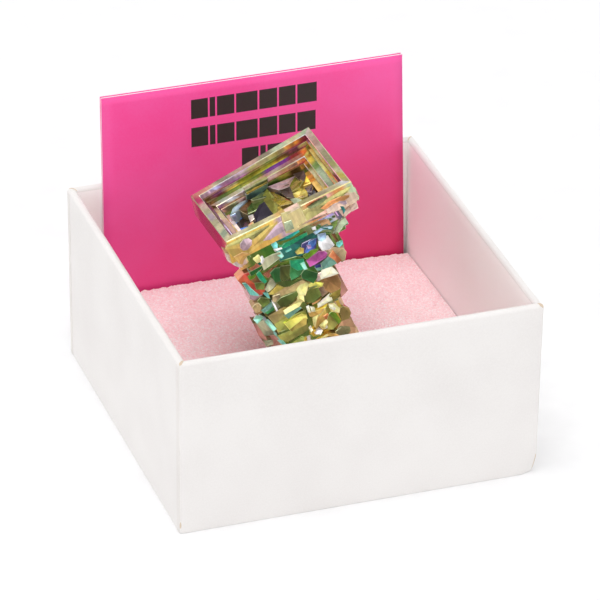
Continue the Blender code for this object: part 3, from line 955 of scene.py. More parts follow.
def tone_along(names, share):
    place = share * (len(names) - 1)
    low = min(int(place), max(0, len(names) - 2))
    blend = min(1.0, max(0.0, (place - low - HOLD) / (1 - 2 * HOLD)))
    return mixed(LINEAR[names[low]], LINEAR[names[min(low + 1, len(names) - 1)]], blend)


def strip(growth, near_ends, far_ends, words, side_shade=1.0):
    """A band of quads from a near edge to a far one, painted along its length."""
    names = words.split()
    parts = PARTS * max(1, len(names) - 1)
    previous = None
    for share in (step / parts for step in range(parts + 1)):
        # Painted shade: the band's colour is darkened by its side's share.
        tone = dimmed(tone_along(names, share), side_shade)
        near, far = (ends[0].lerp(ends[1], share) for ends in (near_ends, far_ends))
        if previous:
            growth.face((previous[0], near, far, previous[1]), (previous[2], tone, tone, previous[2]))
        previous = (near, far, tone)


def ring_of_strips(growth, near, far, tones, side_shades=(1.0, 1.0, 1.0, 1.0)):
    """near and far are each four limits and a height."""
    near, far = (rectangle(*limits, z) for limits, z in (near, far))
    for (way, a, b), side_shade in zip(SIDES, side_shades):
        strip(growth, (near[a], near[b]), (far[a], far[b]), tones[way], side_shade)


print("the rim's corners rise and fall by", round(twisted(11, 10, 0).z, 2), "mm")

# %% [markdown]
# Each edge between a wall and a ledge gets a narrow bevel strip; at two of the levels, and under the head, it
# is a pale tone, a painted highlight that outlines the terraces in light as on the real crystal. A ring can
# also be painted darker on some of its sides, a painted shade for each side.

# %% Build the funnel
LIP, RIM_BEVEL = 0.1, (0.14, 0.12)  # widths of the pale bevels, and the rim's width and height
RIM_SHADES, WALL_SHADES = (0.62, 0.62, 0.66, 0.58), (1.0, 0.66, 1.0, 0.8)  # painted shade on each side, at the front, right, back and left
# Painted highlight on the lips of some levels and under the head.
PALE_HIGHLIGHTS = all_round("cream pearl lilac cream cream pearl")
RIM_EDGE = all_round("straw sage_light tan straw olive_tan tan")
PALE_HIGHLIGHT_LEVELS = (0, 3)
RIM_TONES = {
    "back": "straw straw taupe_dark rose_brown rose_brown taupe_dark sage_light straw sage_light",
    "front": "tan straw olive_tan straw gold tan olive_tan taupe straw pearl",
    "left": "straw sage straw taupe mauve taupe rose_tan rose salmon",
    "right": "tan lemon_dark straw olive_tan taupe taupe rose_tan rose_brown rose_tan blush",
}
HEAD_TONES = {
    "front": "gold honey gold gold mauve tan copper salmon copper sage_light",
    "right": "sage_light sage olive sage tan",
    "back": "sage straw sage rose_brown taupe mauve sage",
    "left": "tan maroon umber maroon rose_brown",
}
UNDER_TONES = {
    "front": "amber moss leaf_dark moss moss sage_dark steel rose_tan blush",
    "right": "rose_tan blush sage",
    "back": "sage straw olive tan sage",
    "left": "blush blush rose_tan",
}


def inset(limits, amount):
    x0, x1, y0, y1 = limits
    return (x0 + amount, x1 - amount, y0 + amount, y1 - amount)


def grow_head(growth):
    shoulder, rim = (HEAD, -RIM_BEVEL[1]), (inset(HEAD, RIM_BEVEL[0]), 0.0)
    ring_of_strips(growth, shoulder, rim, RIM_EDGE, RIM_SHADES)
    ring_of_strips(growth, (HEAD_LOW, HEAD_FOOT), shoulder, HEAD_TONES)
    ring_of_strips(growth, (UNDER, HEAD_FOOT), (HEAD_LOW, HEAD_FOOT), PALE_HIGHLIGHTS)
    ring_of_strips(growth, (UNDER, UNDER_FOOT), (UNDER, HEAD_FOOT), UNDER_TONES)
    growth.face(rectangle(*UNDER, UNDER_FOOT)[::-1], LINEAR["olive"])
    ring_of_strips(growth, rim, (inset(LEVELS[0][0], -LIP), 0.0), RIM_TONES, RIM_SHADES)


def grow_funnel(growth):
    level = 0.0
    for place, (limits, depth, *words) in enumerate(LEVELS):
        back, back_ledge, right, right_ledge, left, left_ledge = words
        lips = dict(back=back, right=right, left=left, front=back)
        opening = (inset(limits, -LIP), -level)
        top, foot = (limits, -level - LIP), (limits, -depth)
        ring_of_strips(growth, opening, top, PALE_HIGHLIGHTS if place in PALE_HIGHLIGHT_LEVELS else lips)
        ring_of_strips(growth, top, foot, dict(lips, front=right), WALL_SHADES)
        if place + 1 < len(LEVELS):
            ledges = dict(back=back_ledge, right=right_ledge, left=left_ledge, front=back_ledge)
            ring_of_strips(growth, foot, (inset(LEVELS[place + 1][0], -LIP), -depth), ledges, WALL_SHADES)
        level = depth


print(len(LEVELS), "terraces")

# %% [markdown]
# The funnel's floor has two small basins side by side with a wall between them. Both are half filled with
# younger crystals, tilted every way, which show as a mosaic. A table gives each one's colour, its numbers
# and then its outline in tenths of a millimetre, as a draughtsman's list of points would.

# %% Floor of the funnel
SUB_BASINS = (((-7.1, -0.35, -5.5, 5.2), 4.7), ((0.95, 6.6, -5.4, 5.1), 4.8))
FLOOR_TILT, TILT_WAVES, CHIP_DEPTH = 9, (2.3, 1.7), 1.6
FRONT_AXES = Vector((1, 0, 0)), Vector((0, 0, 1)), Vector((0, -1, 0))  # right, up and out
TOP_AXES = Vector((1, 0, 0)), Vector((0, 1, 0)), Vector((0, 0, 1))
FLOOR_PLATES = """
umber -3.65 -55,43 -35,58 -28,50 -47,12 -52,28
sky -3.35 -73,30 -61,51 -47,57 -36,54 -52,44 -63,30
ink -3.45 -51,-23 -44,-1 -25,13 -16,13 -16,-26 -35,-24
moss_dark -3.55 -47,11 -41,32 -26,45 -8,42 -20,17 -34,12
sage_dark -3.25 -29,42 1,52 -1,39 -10,32 -27,36
olive -3.65 -10,39 1,48 2,21 -2,-10 -11,-25 -16,-19 -16,17
gold_olive -3.05 2,47 7,37 19,-36 16,-40 1,-23 -2,14
mauve -3.55 5,55 50,54 41,39 33,34 18,35 11,46
ink_brown -3.75 16,39 35,39 35,17 29,-5 20,9 17,27
olive -3.45 36,37 50,50 55,18 45,8 32,11
umber_dark -3.25 50,49 66,43 62,20 53,15
gold_bright -3.05 65,28 63,1 51,0
straw_gold -3.45 31,4 48,5 51,-14 46,-27 29,-18
sage_light -3.25 21,-15 29,-20 34,-30 22,-33
steel_dark -3.25 51,3 62,5 62,-6 56,-27 51,-18
ink -3.35 51,-17 60,-15 60,-29 49,-32
blush -3.15 -50,0 -43,-3 -45,-12 -52,-15
lemon -3.15 -58,-22 -50,-20 -50,-31 -57,-30
straw_gold -3.65 -2,-10 5,-15 -2,-27 -9,-23
"""  # colour, height, outline in X and Y
WALL_PLATES = """
sage_dark 5.3 -30,-18 8,-18 6,-24 -30,-23
gold_olive 5.1 -30,-22 5,-22 5,-24 -29,-26
slate 5.0 -32,-25 5,-24 2,-31 -27,-36 -34,-31
"""  # colour, Y, outline in X and Z


def read_plates(table):
    """(colour name, its numbers, its outline in mm) for each plate of a table."""
    plates = []
    for word in table.split():
        if word[0].isalpha():
            plates.append((word, [], []))
        elif "," in word:
            plates[-1][2].append(Vector([int(part) / 10 for part in word.split(",")]))
        else:
            plates[-1][1].append(float(word))
    return plates


def set_plate(growth, axes, level, outline, tone, pitch=0.0, yaw=0.0, depth=CHIP_DEPTH, edge=BEVEL):
    """A plate given by its outline in a plane at a level, turned up by pitch and to its right by yaw."""
    right, up, out = axes
    centre = sum(outline, Vector((0, 0))) / len(outline)
    middle = right * centre.x + up * centre.y + Vector([abs(part) for part in out]) * level
    turn = Matrix.Rotation(math.radians(-pitch), 3, right) @ Matrix.Rotation(math.radians(yaw), 3, up)
    local = [point - centre for point in outline]
    growth.plate(middle, [turn @ axis for axis in axes], local, depth, tone, edge)


def grow_floor(growth):
    (x0, x1, y0, y1), z = LEVELS[-1][0], -LEVELS[-1][1]
    (left, _), (right, _) = SUB_BASINS
    for limits, depth in SUB_BASINS:
        ring_of_strips(growth, (limits, z), (limits, -depth), all_round("umber olive moss ink"))
        growth.face(rectangle(*limits, -depth), LINEAR["ink_brown"])
    front, back = left[2:]
    flats = (
        (x0, x1, y0, front, "taupe"),
        (x0, x1, back, y1, "moss"),
        (x0, left[0], front, back, "blush"),
        (left[1], right[0], front, back, "gold_olive"),
        (right[1], x1, front, back, "gold"),
    )
    for *limits, name in flats:
        growth.face(rectangle(*limits, z), LINEAR[name])
    for place, (name, (level,), outline) in enumerate(read_plates(FLOOR_PLATES)):
        pitch, yaw = math.sin(place * TILT_WAVES[0]), math.cos(place * TILT_WAVES[1])
        set_plate(growth, TOP_AXES, level, outline, LINEAR[name], FLOOR_TILT * pitch, FLOOR_TILT * yaw)
    for name, (level,), outline in read_plates(WALL_PLATES):
        set_plate(growth, FRONT_AXES, level, outline, LINEAR[name], depth=1.0)


print(len(read_plates(FLOOR_PLATES)), "faces on the funnel's floor")

# %% [markdown]
# ## The crystal: the stalk
# Under the head the crystal steps in and out in tiers, each one a stack of square blocks with notched
# corners. The tiers are laid out first, with a colour for each side.

# %% Tiers
WAYS = ("front", "right", "left", "back", "top")
PLAIN_BLOCKS = (  # X, Y and Z limits, bevel, colours of the front, right, left, back and top
    ((-11.0, -8.6), (-9.8, -4.2), (-5.5, -3.2), 0.7, "blush rose_tan rose_tan blush blush"),
    ((8.4, 11.2), (-9.1, -1.5), (-5.0, -3.3), 0.5, "rose_tan blush salmon rose_tan blush"),
    ((-0.7, 2.2), (-10.25, -8.6), (-3.2, 0.1), 0.3, "tan tan rose_tan tan rose_tan"),
    ((-9.7, 8.3), (-9.2, 7.6), (-6.3, -5.3), 0.14, "moss sage_light leaf green_dark teal"),
    ((-9.7, 7.8), (-9.0, 7.4), (-7.05, -6.05), 0.14, "teal_dark teal leaf_dark teal lemon_dark"),
    ((-9.7, 8.0), (-9.15, 7.2), (-7.8, -6.8), 0.14, "green_dark turquoise moss emerald teal"),
    ((-9.7, 7.4), (-8.8, 7.0), (-8.55, -7.55), 0.14, "moss teal_dark teal navy leaf"),
    ((-11.3, 2.3), (-6.0, 3.4), (-37.2, -28.5), 0.2, "olive umber rose_brown olive moss"),
    ((-9.2, 0.6), (-8.1, 6.0), (-36.4, -28.3), 0.2, "olive_green umber rose_brown olive moss"),
)
NOTCHED = (
    ((-9.6, 6.1), (-8.8, 6.9), (-12.9, -7.8), 0.4, "leaf green vermilion teal leaf_dark"),
    ((-8.4, 3.2), (-8.0, 6.3), (-14.0, -12.2), 0.2, "olive moss umber olive moss"),
    ((-10.5, 3.6), (-8.8, 6.7), (-18.3, -13.4), 0.45, "olive_tan rose_brown tan_dark leaf olive_yellow"),
    ((-9.8, 1.2), (-7.9, 6.1), (-19.8, -17.6), 0.2, "moss olive green_dark olive moss"),
    ((-10.6, 2.3), (-8.7, 6.6), (-24.6, -19.2), 0.45, "lemon_dark amber_brown teal_light lime lemon_dark"),
    ((-10.4, 1.5), (-7.8, 6.0), (-26.6, -24.0), 0.2, "moss umber rose_brown olive moss"),
    ((-11.0, 2.6), (-8.5, 6.4), (-29.2, -26.0), 0.35, "lemon_dark amber_brown rose_brown olive_yellow lime"),
)
CORE = ((-7.2, -0.6), (-6.0, 4.6), (-30.0, -7.0), 0.2, "moss moss moss moss moss")
STAGGER, INNER_STAGGER = 0.2, 0.1  # a share of the tier's height between two blocks, and mm for the third
SET_IN = (  # how far each of a tier's three blocks is set in: left, right, front and back
    (0.0, 0.0, 1.6, 3.8),
    (2.8, 1.3, 0.0, 0.0),
    (1.3, 0.3, 0.5, 2.0),
)


def side_tones(words):
    tones = {way: LINEAR[name] for way, name in zip(WAYS, words.split())}
    # The underside is the front colour half darkened: painted shade under the block.
    return dict(tones, under=mixed(tones["front"], LINEAR["umber_dark"], 0.5))


def grow_tier(growth, x, y, z, edge, words):
    """Stepped corners, cut deepest at the left: one block long in X, one long in Y, one between."""
    low, high = z
    step = STAGGER * (high - low)
    heights = ((low, high - step), (low + step, high), (low + INNER_STAGGER, high - INNER_STAGGER))
    for (left, right, front, back), height in zip(SET_IN, heights):
        limits = (x[0] + left, x[1] - right), (y[0] + front, y[1] - back), height
        growth.block(*limits, side_tones(words), edge)


def grow_tiers(growth):
    for tier in NOTCHED:
        grow_tier(growth, *tier)
    for x, y, z, edge, words in (*PLAIN_BLOCKS, CORE):
        growth.block(x, y, z, side_tones(words), edge)


print(len(NOTCHED), "notched tiers down to", min(z[0] for _, _, z, _, _ in PLAIN_BLOCKS), "mm")

# %% [markdown]
# The front of the stalk is a mosaic of bevelled faces, each with one clear colour; the pearl and pale lemon
# ones are painted highlights. They are listed one by one, from the top down: colour, how far out the face
# sits, how far it is tipped up and to the right, and its outline in X and Z, again in tenths of a millimetre.

# %% Faces on the front
FRONT_PLATES = """
honey -10.03 0 0 -111,-3 -62,-4 -31,-8 -23,-5 -30,-18 -36,-21 -59,-27 -86,-33 -97,-35 -107,-29 -114,-7
olive_tan -10.1 4 0 -108,0 -61,-2 -38,-4 -39,-6 -64,-6 -110,-4
mauve -10.16 0 4 -90,-10 -83,-6 -76,-8 -73,-14 -76,-20 -84,-24 -90,-22 -92,-16
amber -10.14 -6 -4 -108,-26 -94,-26 -86,-33 -97,-38 -101,-44 -105,-39
mauve -10.12 0 2 -15,-10 -15,-19 -18,-26 -44,-28 -55,-24 -28,-12
sage -10.35 0 0 -14,-13 -3,-15 -4,-29 -17,-27
tan -10.2 0 2 -12,2 3,-2 9,-13 4,-33 -6,-35 -17,-31 -15,-12
salmon -10.03 2 0 9,-22 50,-20 93,-20 108,-26 109,-36 103,-43 84,-41 45,-33 6,-32
rose_tan -10.16 0 3 56,-28 80,-27 88,-32 86,-39 73,-39 56,-36
olive_tan -10.1 4 0 11,-16 47,-13 86,-11 106,-12 100,-17 83,-16 47,-19 10,-20
sage_light -9.9 0 14 106,-16 112,-23 112,-39 109,-44 107,-29
rose_tan -9.8 -4 10 78,-59 82,-50 94,-47 104,-46 103,-55
olive_tan -10.12 0 0 13,-12 31,-11 49,-22 52,-28 25,-29 8,-31
copper -10.14 2 2 49,-22 64,-18 84,-20 97,-25 96,-28 86,-29 71,-25 55,-27
mauve -10.15 -2 0 58,-28 71,-27 80,-27 89,-31 88,-37 78,-33 67,-32 59,-31
sage_dark -10.17 2 0 31,-8 45,-10 55,-7 63,-6 64,-10 56,-13 46,-14 34,-13
teal_dark -10.2 2 8 78,-36 82,-39 82,-45 78,-49 79,-44
sage_dark -9.3 0 0 4,-39 29,-39 63,-42 73,-45 75,-59 79,-62 65,-65 53,-78 41,-67 24,-61 14,-50
steel -9.6 8 0 3,-38 27,-37 62,-39 63,-42 37,-41 17,-41
lavender -9.65 6 0 37,-41 61,-41 64,-47 49,-45 40,-44
steel_dark -9.7 2 10 66,-40 72,-41 75,-57 69,-60 67,-52
orchid -9.75 4 4 66,-41 69,-41 70,-51 69,-52
umber_green -9.6 0 0 37,-44 50,-46 64,-49 64,-53 48,-48 37,-46
tan_dark -9.7 6 0 22,-44 37,-45 49,-48 52,-52 53,-60 37,-56 29,-48
teal_dark -9.75 4 4 36,-56 48,-57 53,-67 49,-68 42,-62
moss -9.55 -4 8 54,-50 66,-59 62,-66 53,-71 55,-64
sage -9.45 2 16 51,-77 64,-64 78,-61 77,-74 56,-77
leaf_dark -9.72 4 0 28,-52 34,-51 37,-54 34,-57 28,-56
blush -9.9 -8 -14 -118,-15 -107,-30 -104,-42 -103,-52 -111,-45 -119,-30
moss -9.3 0 0 -99,-50 -85,-38 -59,-32 -38,-33 -19,-40 3,-42 19,-43 13,-56 -23,-57 -42,-79 -72,-80 -71,-60
-86,-46 -101,-57
teal_dark -9.35 0 2 -29,-46 13,-49 32,-59 24,-73 -3,-87 -18,-85 -43,-78 -44,-67
leaf_dark -9.45 10 0 -92,-37 -40,-32 -37,-36 -88,-43
lemon_dark -9.55 14 0 -91,-41 -62,-36 -41,-34 -41,-36 -63,-39 -91,-44
teal -9.6 4 0 -39,-33 -19,-41 2,-41 2,-45 -20,-46 -39,-41
umber -9.6 0 0 -28,-51 11,-49 13,-53 -27,-56
emerald -9.75 8 0 -25,-51 12,-52 11,-57 -6,-58 -26,-57 -37,-58 -34,-55
leaf -9.5 2 4 -68,-38 -47,-37 -45,-44 -47,-51 -71,-51
moss -9.7 12 -20 -95,-39 -86,-37 -85,-43 -91,-47 -97,-48
lemon -9.8 10 -10 -79,-43 -73,-42 -72,-49 -73,-56 -79,-56 -81,-49
pearl -9.95 10 -6 -71,-52 -67,-52 -68,-58 -72,-62 -73,-59
sage_light -9.85 -6 -6 -71,-58 -51,-59 -40,-61 -40,-69 -57,-72 -73,-76
turquoise -9.9 10 6 -44,-37 -39,-38 -38,-45 -40,-50 -45,-48 -45,-42
pearl -9.85 20 0 -45,-51 -35,-54 -35,-56 -44,-55
mint -9.9 -6 4 -43,-58 -38,-60 -37,-68 -41,-69 -44,-63
green -9.6 6 4 -32,-40 -25,-44 -28,-54 -34,-57 -36,-49
indigo -9.55 0 4 0,-68 13,-69 24,-72 15,-85 -1,-85 -9,-79
blue -9.7 6 6 10,-71 21,-71 17,-79 2,-85 -2,-83
lavender -9.85 0 8 5,-74 9,-76 9,-80 5,-79
turquoise -9.7 6 0 -29,-65 -22,-65 -22,-67 -28,-67
lemon_dark -9.8 0 6 -15,-75 -7,-73 -3,-76 -6,-82 -14,-79
leaf_bright -9.75 4 8 -6,-87 7,-86 18,-90 10,-93 -4,-95 -6,-91
leaf_dark -9.5 -4 0 -43,-77 -18,-84 -6,-93 -11,-94 -30,-83
moss_dark -9.2 0 12 33,-54 58,-62 53,-72 47,-77 30,-67
sky -9.8 14 8 24,-58 39,-58 54,-65 51,-67 38,-62 26,-63
sky -9.55 12 6 28,-67 39,-71 37,-78 30,-80 26,-76
pearl -9.75 8 10 25,-78 30,-80 39,-71 41,-77 43,-94 34,-96 24,-93 23,-85
pearl -9.6 10 0 24,-45 30,-47 28,-54 24,-52
moss -9.1 0 22 46,-77 58,-82 59,-100 58,-107 48,-104 46,-92
umber -9.3 0 16 48,-79 53,-80 54,-96 50,-96
turquoise -9.3 6 26 51,-97 59,-99 57,-104 51,-105 49,-101
sage_light -8.9 6 24 53,-74 63,-74 75,-77 60,-82 53,-80
magenta -9.6 -8 6 -5,-98 17,-95 25,-99 28,-105 23,-110 8,-111 -4,-111
teal_light -9.5 -8 14 14,-116 30,-112 36,-121 36,-130 26,-129 12,-126
copper -9.45 -2 18 30,-112 39,-106 45,-129 37,-130 36,-122
taupe -9.2 0 24 31,-100 42,-102 55,-112 57,-121 50,-132 44,-132 39,-107 31,-113 28,-107
navy -9.45 -10 6 3,-114 14,-117 14,-123 4,-119
teal_light -9.3 -14 8 2,-118 14,-124 15,-129 5,-126
copper -9.2 10 -6 -96,-60 -84,-54 -81,-61 -92,-66
brick -9.1 8 -2 -92,-67 -80,-63 -75,-73 -82,-76
vermilion -8.7 0 -14 -117,-75 -104,-70 -93,-72 -84,-90 -84,-111 -93,-118 -107,-105 -114,-85
leaf_bright -9.1 6 -12 -100,-76 -89,-72 -87,-80 -94,-84 -99,-83
umber -9.15 0 -6 -99,-83 -93,-84 -88,-80 -85,-91 -88,-96 -95,-91
emerald -9.3 2 8 -87,-79 -81,-76 -77,-98 -82,-99 -85,-89
moss -9.2 -8 0 -95,-92 -88,-96 -82,-100 -87,-109 -96,-103
turquoise -9.2 4 -20 -113,-83 -108,-85 -105,-99 -98,-113 -101,-113 -109,-106
mauve -8.8 -8 -8 -110,-108 -98,-116 -93,-118 -106,-121 -112,-115
brick -9.0 4 0 -76,-86 -61,-83 -42,-80 -59,-85 -68,-93 -72,-95
green_dark -9.4 2 -10 -66,-89 -57,-85 -49,-88 -57,-109 -65,-107
umber_green -9.5 0 -2 -48,-86 -33,-93 -43,-113 -55,-109 -55,-104
emerald -9.55 10 4 -29,-84 -10,-93 -12,-111 -25,-106 -32,-94
mint -9.75 14 4 -20,-92 -11,-94 -11,-109 -16,-108 -16,-99
green -9.5 -4 2 -33,-95 -25,-107 -14,-111 -28,-117 -40,-117 -39,-107
green_dark -9.5 -4 14 -15,-112 1,-129 -3,-136 -11,-141 -23,-124 -23,-117
leaf_dark -9.2 4 16 -5,-98 2,-117 2,-131 -11,-115 -9,-104
moss_dark -9.3 -14 0 -65,-108 -56,-110 -39,-119 -25,-120 -25,-125 -47,-126 -55,-123
sage_light -9.0 0 -8 -84,-111 -69,-98 -65,-111 -72,-115 -82,-118
lemon_pale -9.2 16 10 5,-136 11,-130 26,-132 31,-147 21,-145 4,-142
umber_light -9.1 0 14 3,-145 10,-144 29,-152 29,-167 24,-175 9,-174 3,-164
rose_brown -8.6 0 34 32,-139 33,-148 35,-186 21,-191 29,-170 31,-152
blush -9.1 4 6 -1,-132 6,-133 3,-143 -4,-143
olive -8.9 -10 18 5,-179 10,-177 26,-177 18,-189 7,-189
lemon_dark -9.0 10 -4 -83,-122 -65,-116 -56,-125 -76,-126
tan -9.05 6 0 -76,-127 -56,-125 -47,-129 -25,-128 -22,-135 -42,-140 -69,-139
taupe -9.1 0 -4 -78,-130 -68,-132 -69,-139 -74,-143 -81,-137
moss_dark -9.4 -6 -4 -76,-141 -67,-138 -39,-141 -43,-148 -54,-154 -67,-155 -74,-151
lemon -9.5 10 2 -39,-138 -30,-133 -22,-133 -19,-139 -31,-151 -39,-146
lemon -9.3 -4 4 -41,-148 -33,-151 -37,-162 -45,-155
moss -9.4 -6 10 -31,-153 -20,-148 -8,-150 -8,-169 -24,-173 -36,-164
lemon_bright -9.1 12 8 -18,-142 -11,-142 3,-150 -2,-154 -19,-149
taupe_dark -9.0 0 16 -6,-157 0,-156 4,-171 -7,-173
amber -9.1 -6 10 -24,-175 -10,-175 -16,-178 -25,-178
lemon_pale -9.2 12 12 -17,-180 6,-175 4,-186 -20,-186
moss -9.0 -2 -14 -101,-127 -91,-127 -88,-134 -89,-138 -96,-138 -101,-134
turquoise -9.1 8 -10 -90,-116 -84,-120 -84,-129 -87,-125
teal_light -9.1 2 -10 -104,-142 -85,-137 -87,-145 -101,-149
green -9.2 -4 -4 -100,-149 -85,-147 -87,-152 -97,-153
pearl -9.2 4 -4 -83,-136 -81,-137 -81,-153 -84,-153
sage -9.0 -2 -2 -81,-139 -74,-145 -75,-152 -81,-153
tan_dark -8.7 0 -20 -114,-137 -102,-134 -104,-146 -113,-148
olive_tan -9.0 2 0 -98,-158 -69,-157 -68,-160 -72,-169 -94,-176
mint -8.9 10 -18 -121,-151 -111,-146 -108,-155 -119,-159
steel -8.9 10 -6 -111,-147 -104,-158 -106,-162 -109,-156
mint -9.1 8 -6 -108,-161 -100,-165 -96,-182 -102,-184
sage -8.8 -4 -14 -120,-161 -108,-162 -103,-185 -103,-193 -116,-187
rose_dark -8.5 0 -26 -125,-159 -120,-163 -117,-189 -116,-205 -120,-214 -123,-193
lemon -9.5 16 -2 -72,-160 -45,-156 -39,-161 -49,-166 -72,-167
teal_light -9.2 -10 0 -74,-169 -49,-169 -46,-173 -70,-179
olive_green -9.0 0 0 -94,-176 -72,-171 -69,-181 -41,-180 -42,-190 -78,-186 -78,-197 -94,-194
lemon_bright -9.7 18 -2 -79,-182 -50,-181 -44,-188 -76,-194
olive_yellow -9.4 -4 0 -76,-196 -44,-191 -50,-203 -74,-202
moss -9.1 -8 0 -94,-194 -78,-196 -77,-202 -93,-203
olive_green -9.2 4 0 -97,-198 -77,-202 -49,-205 -50,-215 -87,-216 -94,-211
moss -9.1 -4 2 -85,-218 -50,-216 -54,-225 -65,-222 -84,-225
lime -9.4 8 2 -87,-223 -65,-220 -62,-223 -65,-228 -80,-226
moss -9.0 6 10 -46,-166 -38,-165 -33,-178 -40,-191 -42,-176
moss -9.0 0 12 -42,-191 -37,-189 -35,-206 -46,-218 -46,-204
gold_bright -9.3 12 10 -26,-186 -5,-188 -9,-192 -26,-190
straw_gold -9.2 0 16 -36,-209 -30,-200 -11,-194 -11,-202 -22,-214 -36,-219
copper -9.3 0 20 -18,-206 -11,-205 -9,-211 -16,-212
lemon_pale -9.3 10 8 -27,-220 -16,-216 -21,-226 -26,-225
olive_green -9.3 -2 22 -16,-216 -9,-208 -5,-209 -2,-230 -13,-235 -21,-229
leaf_bright -9.3 10 26 -8,-207 1,-207 4,-228 -2,-230
lemon -9.2 16 20 -2,-193 5,-195 10,-206 6,-211 -3,-204
olive -9.1 2 18 -9,-194 -1,-192 -4,-205 -11,-203
khaki -8.5 0 34 9,-210 18,-211 24,-219 24,-228 18,-234 7,-231
amber_brown -8.4 -2 34 6,-234 21,-237 21,-257 15,-269 -3,-262 -14,-248 -1,-239
sage_dark -8.8 0 30 -10,-243 1,-242 12,-250 11,-257 -1,-261 -9,-253
gold_bright -9.2 14 12 -49,-238 -39,-237 -21,-241 -26,-244 -41,-244
lemon_pale -9.3 14 8 -46,-220 -35,-221 -30,-227 -36,-231 -45,-224
ink -9.0 -10 12 -31,-247 -21,-248 -12,-257 -23,-254
gold -9.1 8 18 -21,-242 -13,-248 -6,-257 -18,-249
leaf -9.1 2 8 -54,-228 -45,-227 -31,-235 -46,-236 -55,-236
tan -9.6 0 -10 -115,-129 -110,-126 -105,-126 -103,-132 -108,-140 -114,-139
moss -9.5 4 -12 -103,-123 -97,-120 -87,-128 -90,-134 -100,-136 -103,-131
lemon_pale -9.6 0 8 -47,-211 -44,-210 -44,-216 -48,-218
pearl -9.65 0 0 -42,-222 -34,-220 -31,-225 -38,-227 -41,-226
gold_bright -9.6 10 4 -48,-222 -40,-220 -41,-228 -46,-228
pearl -9.6 0 -8 -56,-225 -52,-225 -54,-232 -58,-231
lemon -9.65 0 12 -30,-216 -23,-215 -14,-211 -18,-218 -26,-224 -29,-220
lemon_pale -9.6 0 16 -2,-190 2,-194 4,-201 0,-202 -3,-196
lemon_pale -9.6 0 10 -31,-178 -27,-182 -28,-187 -32,-185
lemon_pale -9.6 0 -6 -37,-175 -33,-175 -35,-185 -38,-182
gold -9.55 14 6 -37,-187 -28,-190 -13,-192 -20,-196 -30,-197 -37,-193
lemon -9.7 0 10 -34,-197 -18,-194 -6,-189 -9,-193 -23,-199 -32,-202 -38,-212 -38,-206
lemon_bright -9.75 0 4 -47,-185 -44,-187 -44,-192 -47,-189
gold -9.6 12 10 -23,-239 -14,-245 -6,-255 -17,-249 -23,-243
lemon -9.6 0 8 -51,-236 -40,-238 -26,-237 -26,-240 -40,-241 -48,-239
sage -8.9 0 -14 -121,-196 -116,-200 -109,-201 -111,-208 -121,-206
rose_dark -9.0 -6 -8 -110,-191 -103,-195 -98,-211 -105,-218 -118,-213 -111,-207 -109,-199
mint -9.3 6 -8 -103,-187 -98,-192 -95,-216 -90,-224 -95,-223 -101,-205
"""
MEAN_LEVEL, LEVEL_SHARE = -9.15, 0.6  # faces of the stalk stand out round this Y, by a share of the list's
HEAD_LEVEL, HEAD_DEPTH, STALK_DEPTH = -9.99, 0.35, 2.2  # a face beyond this Y lies thin on the head
CALM, CALM_SPAN = 0.42, 2.0  # a long face turns less, or its ends would stand out
# Pale faces that stand for glints: painted highlights.
GLINT_TONES = ("lemon", "lemon_bright", "lemon_pale", "cream", "pearl", "mint")
GLINT_PITCH = 26.0  # these are tipped to the sky, so they also catch its real reflection


def grow_front(growth):
    for name, (level, pitch, yaw), outline in read_plates(FRONT_PLATES):
        span = max((a - b).length for a in outline for b in outline)
        calm = CALM * min(1.0, CALM_SPAN / span)
        pitch, yaw, edge = pitch * calm, yaw * calm, min(BEVEL, 0.06 * span)
        if level <= HEAD_LEVEL:
            set_plate(growth, FRONT_AXES, level, outline, LINEAR[name], pitch, yaw, HEAD_DEPTH, edge)
            continue
        pitch = GLINT_PITCH if name in GLINT_TONES else pitch
        level = MEAN_LEVEL + LEVEL_SHARE * (level - MEAN_LEVEL)
        set_plate(growth, FRONT_AXES, level, outline, greyer(LINEAR[name]), pitch, yaw, STALK_DEPTH, edge)


print(len(read_plates(FRONT_PLATES)), "faces on the front")

# %% [markdown]
# The sides and the back grow in the same way but at random, from a fixed seed: blocks that stand out of the
# tiers, each turned a little, in the colours of their own tier.

# %% Blocks on the sides and back
SIDE_SETS = (  # Z limits of the blocks, their tier and their colours
    ((-8.6, -3.8), 0, "teal teal_dark sage_light turquoise leaf blue magenta umber"),
    ((-12.9, -8.0), 0, "emerald green_dark copper tan rose_tan teal_light moss leaf"),
    ((-18.3, -13.4), 2, "olive_tan umber_light lemon tan moss gold_bright taupe"),
    ((-24.6, -19.2), 4, "olive_green lime turquoise amber lemon tan leaf mint"),
    ((-29.0, -25.0), 6, "amber_brown lime gold_bright sage moss straw_gold olive_yellow mint"),
)
WALL_RANGES = (("right", -4.0, 4.5), ("left", -5.0, 4.5), ("back", -7.5, 2.0))
SET_BACK = dict(right=1.8, left=2.7, back=0.5)  # from the tier's side to the middle of a block
WIDTHS, TALLEST, REACHES, TURNS = (1.6, 3.4), 3.8, (-0.2, 0.45), (12, 12, 26)  # mm, and degrees about X, Y, Z
SIDE_DEPTH, SIDE_BEVEL, STRIDE = 2.4, 0.16, 0.8


